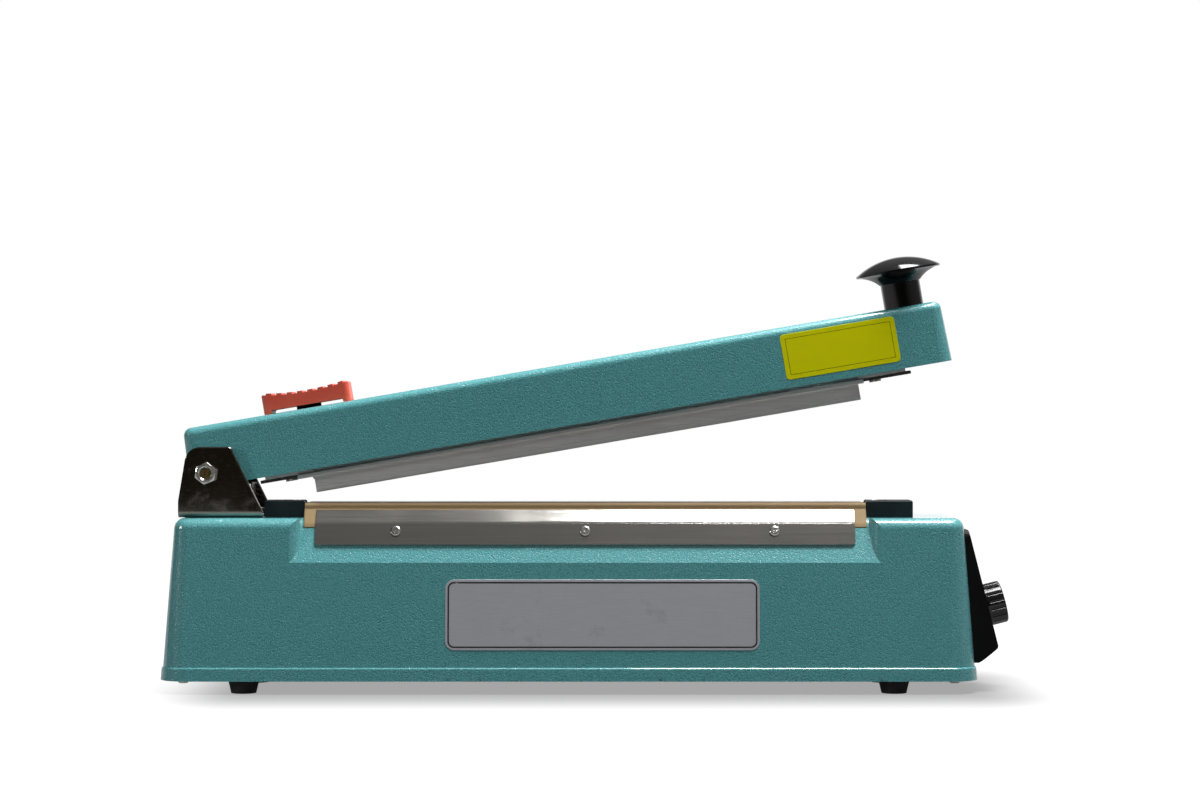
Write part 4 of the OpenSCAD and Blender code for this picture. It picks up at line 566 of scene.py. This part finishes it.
def cloth_cover():
    """Coated cloth over the bar: a section carried along X, with slack ripples in the free flare, fainter
    ones on the bar's top, and the ribbon showing through as a low ridge."""
    flare_at, flare_span, flare_lift, flare_sag = 23.5, 2.6, 0.09, 0.10
    top_at, top_span, top_lift, top_rise = 10.0, 6.0, 0.016, 1.2
    ridge, stations = 0.05, 420
    ripples = ((0.5, 9.0, 0.0), (0.3, 4.1, 1.3), (0.6, 21.0, 0.4))
    section, run = spread(cover_path(CLOTH_OUT), CLOTH_STEP)
    under, _ = spread(cover_path(CLOTH_IN), CLOTH_STEP)
    share = np.linspace(0, 1, len(section))
    under = np.stack([np.interp(share, np.linspace(0, 1, len(under)), under[:, i]) for i in range(2)], -1)
    x = np.linspace(-BAR_HALF_L, BAR_HALF_L, stations)
    tangent = np.gradient(section, axis=0)
    tangent /= np.linalg.norm(tangent, axis=1)[:, None]
    out = np.stack([-tangent[:, 1], tangent[:, 0]], -1)
    flare = np.exp(-((run - flare_at) / flare_span) ** 2)
    top = np.exp(-((run - top_at) / top_span) ** 2)
    wave = sum(np.sin(x / length + start) * size for size, length, start in ripples)[:, None]
    on_ribbon = np.exp(-(((section[:, 0] - SEAL_Y) / RIBBON_HALF_W) ** 6))
    on_ribbon = on_ribbon * (np.abs(x[:, None]) < RIBBON_HALF_L)
    lift = (flare_lift * wave - flare_sag) * flare + top_lift * (wave + top_rise) * top + ridge * on_ribbon
    grid = section[None] + lift[..., None] * out[None]
    low = under[None] + np.minimum(lift, 0)[..., None] * out[None]

    def lay(points):
        along = np.broadcast_to(x[:, None, None] + STAND_X, points.shape[:2] + (1,))
        return np.concatenate([along, points], -1)

    points, faces = shell(lay(grid), lay(low))
    flat = np.stack(np.broadcast_arrays(x[:, None] * MM, run[None] * MM), -1).reshape(-1, 2)
    made = new_piece("cloth_cover", points, faces, finishes["tan_glass_cloth"], "base", np.tile(flat, (2, 1)))
    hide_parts("ptfe_cover")


def coil(foot, axis, height, mean_d, wire, curls):
    """Spring wire: a circle carried along a helix that climbs a little less at its ends and its middle."""
    steps, sides, ease_share = 28, 12, 0.12
    turn = np.linspace(0, 2 * math.pi * curls, steps * curls + 1)
    share = turn / turn[-1]
    ease = share - np.sin(4 * math.pi * share) / (4 * math.pi) * ease_share
    rise = wire / 2 + (height - wire) * ease
    out = np.cos(turn)[:, None] * np.cross(ACROSS, axis) + np.sin(turn)[:, None] * ACROSS
    line = foot + out * mean_d / 2 + rise[:, None] * axis
    along = np.gradient(line, axis=0)
    along /= np.linalg.norm(along, axis=1)[:, None]
    up = np.cross(along, out)
    a = np.linspace(0, 2 * math.pi, sides, endpoint=False)
    ring = np.cos(a)[None, :, None] * out[:, None] + np.sin(a)[None, :, None] * up[:, None]
    return tube(line[:, None] + ring * wire / 2)


def springs():
    """The two guide springs in the arm and the rod's return spring."""
    points, faces = joined([coil(on_arm(u, 0, HANGER_TOP), UP_ARM, GUIDE_SEAT - HANGER_TOP, **GUIDE_COIL)
                            for u in GUIDE_U])
    guide = new_piece("guide_spring_wire", points, faces, finishes["plated_steel"], "arm")
    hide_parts("guide_springs")
    tuple(on_arm(GUIDE_MID_U, 0, GUIDE_SEAT) * MM)
    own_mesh(guide)
    points, faces = coil(ROD_FOOT, np.array([0, 0, 1.0]), RETURN_H, **RETURN_COIL)
    back = new_piece("return_spring_wire", points, faces, finishes["plated_steel"], "base")
    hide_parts("return_spring")
    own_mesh(back)


def pad_strip(name, node, side):
    """Silicone strip: a rounded section with a crowned face and a key, carried along the rail; the face
    has the line that sealing has pressed into it, and the ends draw in a little."""
    crown_rise, seal_dent, seal_span = 0.16, 0.10, 1.5
    end, end_rise, draw_in = 0.6, 0.10, 0.015
    sways = ((0.05, 17.0), (0.03, 5.3))
    sway_up, sway_share, face_h = 0.08, 0.6, 2.0
    face_points, stations = 26, 150
    (inner, outer), (u0, u1), r = PAD_Y, PAD_U, PAD_ROUND
    low, top, key_top = PAD_LOW, PAD_LOW + PAD_THICK, PAD_LOW + PAD_THICK + PAD_KEY_RISE
    key_in, key_out = PAD_KEY_Y - PAD_KEY_HALF, PAD_KEY_Y + PAD_KEY_HALF
    face_y = np.linspace(inner + r, outer - r, face_points)
    crown = crown_rise * ((face_y - PAD_KEY_Y) / (outer - inner) * 2) ** 2
    crown = crown + seal_dent * np.exp(-(((face_y + SEAL_Y) / seal_span) ** 4))
    face = np.stack([face_y, low + crown], -1)
    right = arc_points((outer - r, low + r + crown[-1]), r, -90, 0, 6)[1:]
    left = arc_points((inner + r, low + r + crown[0]), r, 180, 270, 6)[:-1]
    upper = np.array([[outer, top], [key_out, top], [key_out, key_top], [key_in, key_top],
                      [key_in, top], [inner, top]])
    loop_y, loop_n = np.concatenate([left, face, right, upper]).T
    near_end = np.array([0, 0.15, end])
    u = np.concatenate([u0 + near_end, np.linspace(u0 + 2, u1 - 2, stations), u1 - near_end[::-1]])[:, None]
    pull = np.clip(np.minimum(u - u0, u1 - u) / end, 0, 1) ** 0.5
    sway = sum(size * np.sin(u / length) for size, length in sways)
    y = PAD_KEY_Y + (loop_y - PAD_KEY_Y) * (1 - draw_in + draw_in * pull)
    n = loop_n + (end_rise * (1 - pull) + (sway + sway_up) * sway_share) * (loop_n < low + face_h)
    points, faces = tube(on_arm(u, side * y, n)[:, ::-side])
    made = new_piece(name, points, faces, finishes["grey_silicone"], "press_bar")
    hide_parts(node)


def rounded_outline(half_x, half_z, corner, count=8):
    """Outline of a rounded rectangle about zero, anticlockwise."""
    quarters = [arc_points((sx * (half_x - corner), sz * (half_z - corner)), corner, a, a + 90, count)
                for sx, sz, a in ((1, 1, 0), (-1, 1, 90), (-1, -1, 180), (1, -1, 270))]
    return np.concatenate(quarters)


def label_plate(name, middle, right, up, out, half, corner, thick, finish, body):
    """A thin rounded plate on a wall: its outline on the wall, the same outline a little proud, and a
    rounded lip round the flat face."""
    rings = []
    for inset, proud in ((0.0, 0.01), (0.0, thick * 0.6), (0.08, thick * 0.9), (0.25, thick)):
        flat = rounded_outline(half[0] - inset, half[1] - inset, corner - inset)
        rings.append(middle + flat[:, :1] * right + flat[:, 1:] * up + proud * out)
    points, faces = tube(np.stack(rings))
    return new_piece(name, points, faces, finish, body, smooth=False)


def plates():
    """Bare foil plate on the base's front wall and bare yellow plate on the arm's front wall."""
    lean = math.radians(BASE_DRAFT)
    middle = np.array([FOIL_X + STAND_X, -(BODY_HALF - (FOIL_Z - FOOT_H) * math.tan(lean)), FOIL_Z])
    foil = foil_finish((middle[0] * MM, FOIL_Z * MM),
                       (FOIL_HALF[0] * MM, FOIL_HALF[1] * math.cos(lean) * MM), FOIL_CORNER * MM)
    made = label_plate("foil_plate", middle, np.array([1.0, 0, 0]),
                       np.array([0, math.sin(lean), math.cos(lean)]),
                       np.array([0, -math.cos(lean), math.sin(lean)]),
                       FOIL_HALF, FOIL_CORNER, FOIL_THICK, foil, "base")
    lean = math.radians(ARM_DRAFT)
    middle = on_arm(VINYL_U, -(ARM_HALF - (VINYL_N + ARM_DROP) * math.tan(lean)), VINYL_N)
    flat = (float(middle @ ALONG_ARM) * MM, float(middle @ UP_ARM) * MM)
    vinyl = yellow_finish(flat, (VINYL_HALF[0] * MM, VINYL_HALF[1] * MM), VINYL_CORNER * MM)
    label_plate("yellow_plate", middle, ALONG_ARM, UP_ARM * math.cos(lean) + ACROSS * math.sin(lean),
                UP_ARM * math.sin(lean) - ACROSS * math.cos(lean),
                VINYL_HALF, VINYL_CORNER, VINYL_THICK, vinyl, "arm")


def on_dial(across, up, proud):
    """Points on the control panel about the knob's axis: across in Y, up the leaning panel, proud of it."""
    lean = math.radians(DIAL_LEAN)
    rise = np.array([-math.sin(lean), 0, math.cos(lean)])
    out = np.array([math.cos(lean), 0, math.sin(lean)])
    return on_axes(DIAL, ACROSS, rise, out, across, up, proud)


def printed_bar(turn, near, far, width, face):
    """A thin bar that points away from the axis: a rounded outline, once on the face and once just proud."""
    flat = rounded_outline((far - near) / 2, width / 2, width / 2.2, 5) + [(near + far) / 2, 0]
    c, s = math.cos(math.radians(turn)), math.sin(math.radians(turn))
    across, up = s * flat[:, 0] + c * flat[:, 1], c * flat[:, 0] - s * flat[:, 1]
    rings = np.stack([on_dial(across, up, face + PRINT_LOW), on_dial(across, up, face + PRINT_HIGH)])
    return tube(rings[:, ::-1])


def dial_marks():
    """Scale of fifteen ticks round the timer knob, every second one shorter, and the pointer on the knob."""
    ink = plastic_finish("white_print", (0.66, 0.66, 0.64), (0.80, 0.80, 0.78),
                         rough=0.5, grain=900, bump=0.05)
    points, faces = joined([
        printed_bar(DIAL_SWEEP * (i / (DIAL_TICKS - 1) - 0.5), TICK_NEAR, TICK_SHORT if i % 2 else TICK_LONG,
                    TICK_W, 0.0) for i in range(DIAL_TICKS)])
    made = new_piece("dial_scale", points, faces, ink, "base", smooth=False)
    points, faces = printed_bar(DIAL_SWEEP / 2, POINTER_NEAR, POINTER_FAR, POINTER_W, KNOB_FACE)
    made = new_piece("knob_pointer", points, faces, ink, "timer", smooth=False)


cloth_cover()
springs()
pad_strip("front_pad_strip", "front_pad", -1)
pad_strip("rear_pad_strip", "rear_pad", 1)
plates()
dial_marks()


# ---------------------------------------------------------------- floor, light and camera
def floor():
    """Pale floor: a disc of rings with a glow of its own, which the camera sees as white; the glow is lowered
    under and close to the object as a painted shadow, on top of the shadow that the lamps cast on its dim
    grey part."""
    foot_x, foot_half_x, foot_half_y, shadow_reach = 0.012, 0.20, 0.042, 0.105
    painted_shadow_glow, side_pull, in_polish, grey = 0.38, 1.6, 0.36, 0.08
    skin, b = new_finish("studio_floor")
    x, y, _ = b.parts(b.place())
    # painted shadow: the glow is weakest over the object's footprint and rises to full within shadow_reach of
    # it
    past_x = ((abs(x - foot_x) - foot_half_x) * side_pull).above(0.0)
    past_y = (abs(y) - foot_half_y).above(0.0)
    painted_shadow_fade = ((past_x ** 2.0 + past_y ** 2.0) ** 0.5).ramp(0.0, shadow_reach)
    camera, glossy = (b.node("ShaderNodeLightPath", out=ray) for ray in ("Is Camera Ray", "Is Glossy Ray"))
    glow = (painted_shadow_fade * (1 - painted_shadow_glow) + painted_shadow_glow) * (glossy * in_polish + camera)
    pale = b.node("ShaderNodeBsdfDiffuse", None, {"Color": (grey, grey, grey, 1)})
    lit = b.node("ShaderNodeEmission", None, {"Color": glow, "Strength": 1.0})
    both = b.node("ShaderNodeAddShader", None, {0: pale, 1: lit})
    b.node("ShaderNodeOutputMaterial", None, {"Surface": both})
    radius = np.array([0.5, 400.0, 800.0, 1200.0, 1700.0, 2300.0])
    a = np.linspace(0, 2 * math.pi, FLOOR_SIDES, endpoint=False)
    ring = np.stack([np.cos(a), np.sin(a), 0 * a], -1)
    points = (radius[:, None, None] * ring[None]).reshape(-1, 3)
    faces = [*grid_quads(len(radius), FLOOR_SIDES, wrap=True), range(FLOOR_SIDES)]
    new_mesh("studio_floor", points, faces, skin)


def sky():
    """White to the camera; polished faces see a low white backdrop behind and a dim, warm room elsewhere."""
    dim, pale, fill = (0.018, 0.015, 0.010), (0.21, 0.205, 0.20), (0.04, 0.04, 0.04)
    world = bpy.data.worlds.new("studio")
    bpy.context.scene.world = world
    b = Bench(world)
    x, y, z = b.parts(b.node("ShaderNodeTexCoord", out="Generated"))
    behind = y.ramp(0.35, 0.85) * z.ramp(0.12, 0.45, 1.0, 0.10)
    room = b.mix((z + x * 0.8).ramp(0.15, 0.95), dim, pale)
    seen = b.mix(behind, room, WHITE)
    camera, glossy, through = (b.node("ShaderNodeLightPath", out=ray)
                               for ray in ("Is Camera Ray", "Is Glossy Ray", "Is Transmission Ray"))
    shown = camera + glossy + through
    tint = b.mix(shown.ramp(0.0, 1.0), fill, b.mix(camera, seen, WHITE))
    back = b.node("ShaderNodeBackground", None, {"Color": tint, "Strength": 1.0})
    b.node("ShaderNodeOutputWorld", None, {"Surface": back})


def softbox(name, place, aim, size, power, mirrored=True):
    """A flat lamp that looks at aim; mirrored says whether polished faces show it."""
    lamp = bpy.data.lights.new(name, "AREA")
    lamp.shape, lamp.size, lamp.size_y = "RECTANGLE", *size
    lamp.energy = power
    made = bpy.data.objects.new(name, lamp)
    bpy.context.scene.collection.objects.link(made)
    look = np.array(aim) - np.array(place)
    made.location = place
    made.visible_glossy = mirrored
    tilt = math.atan2(math.hypot(look[0], look[1]), -look[2])
    made.rotation_euler = (tilt, 0, math.atan2(look[1], look[0]) - math.pi / 2)


def lamps():
    """A large box overhead, a strip behind for top edges, and narrow strips for rounded edges and glints."""
    softbox("top_box", (0.37, -0.11, 1.50), aim=(0.37, 0.0, 0.1), size=(0.66, 0.66), power=40.0)
    softbox("back_box", (0.50, 0.64, 1.45), aim=(0.50, 0.02, 0.1), size=(0.80, 0.22), power=7.0)
    softbox("left_strip", (-1.3, -0.60, 0.45), aim=(-0.1, 0.0, 0.1), size=(0.10, 0.25), power=4.2)
    softbox("front_strip", (0.27, -0.98, 1.50), aim=(0.27, 0.0, 0.1), size=(0.40, 0.02), power=0.6)
    softbox("right_strip", (1.6, 0.0, 0.8), aim=(0.2, 0.0, 0.1), size=(0.20, 0.9), power=1.2, mirrored=False)


def front_camera():
    """Straight front view whose width takes in FIELD_W at the front wall."""
    eye = bpy.data.cameras.new("front_view")
    eye.sensor_width = SENSOR
    eye.lens = SENSOR * EYE_AWAY / FIELD_W
    made = bpy.data.objects.new("front_view", eye)
    bpy.context.scene.collection.objects.link(made)
    made.location = (EYE_X + STAND_X * MM, FRONT_Y - EYE_AWAY, EYE_Z)
    made.rotation_euler = (math.pi / 2, 0, 0)
    bpy.context.scene.camera = made
    bpy.context.scene.view_settings.view_transform = "Standard"


floor()
sky()
lamps()
front_camera()
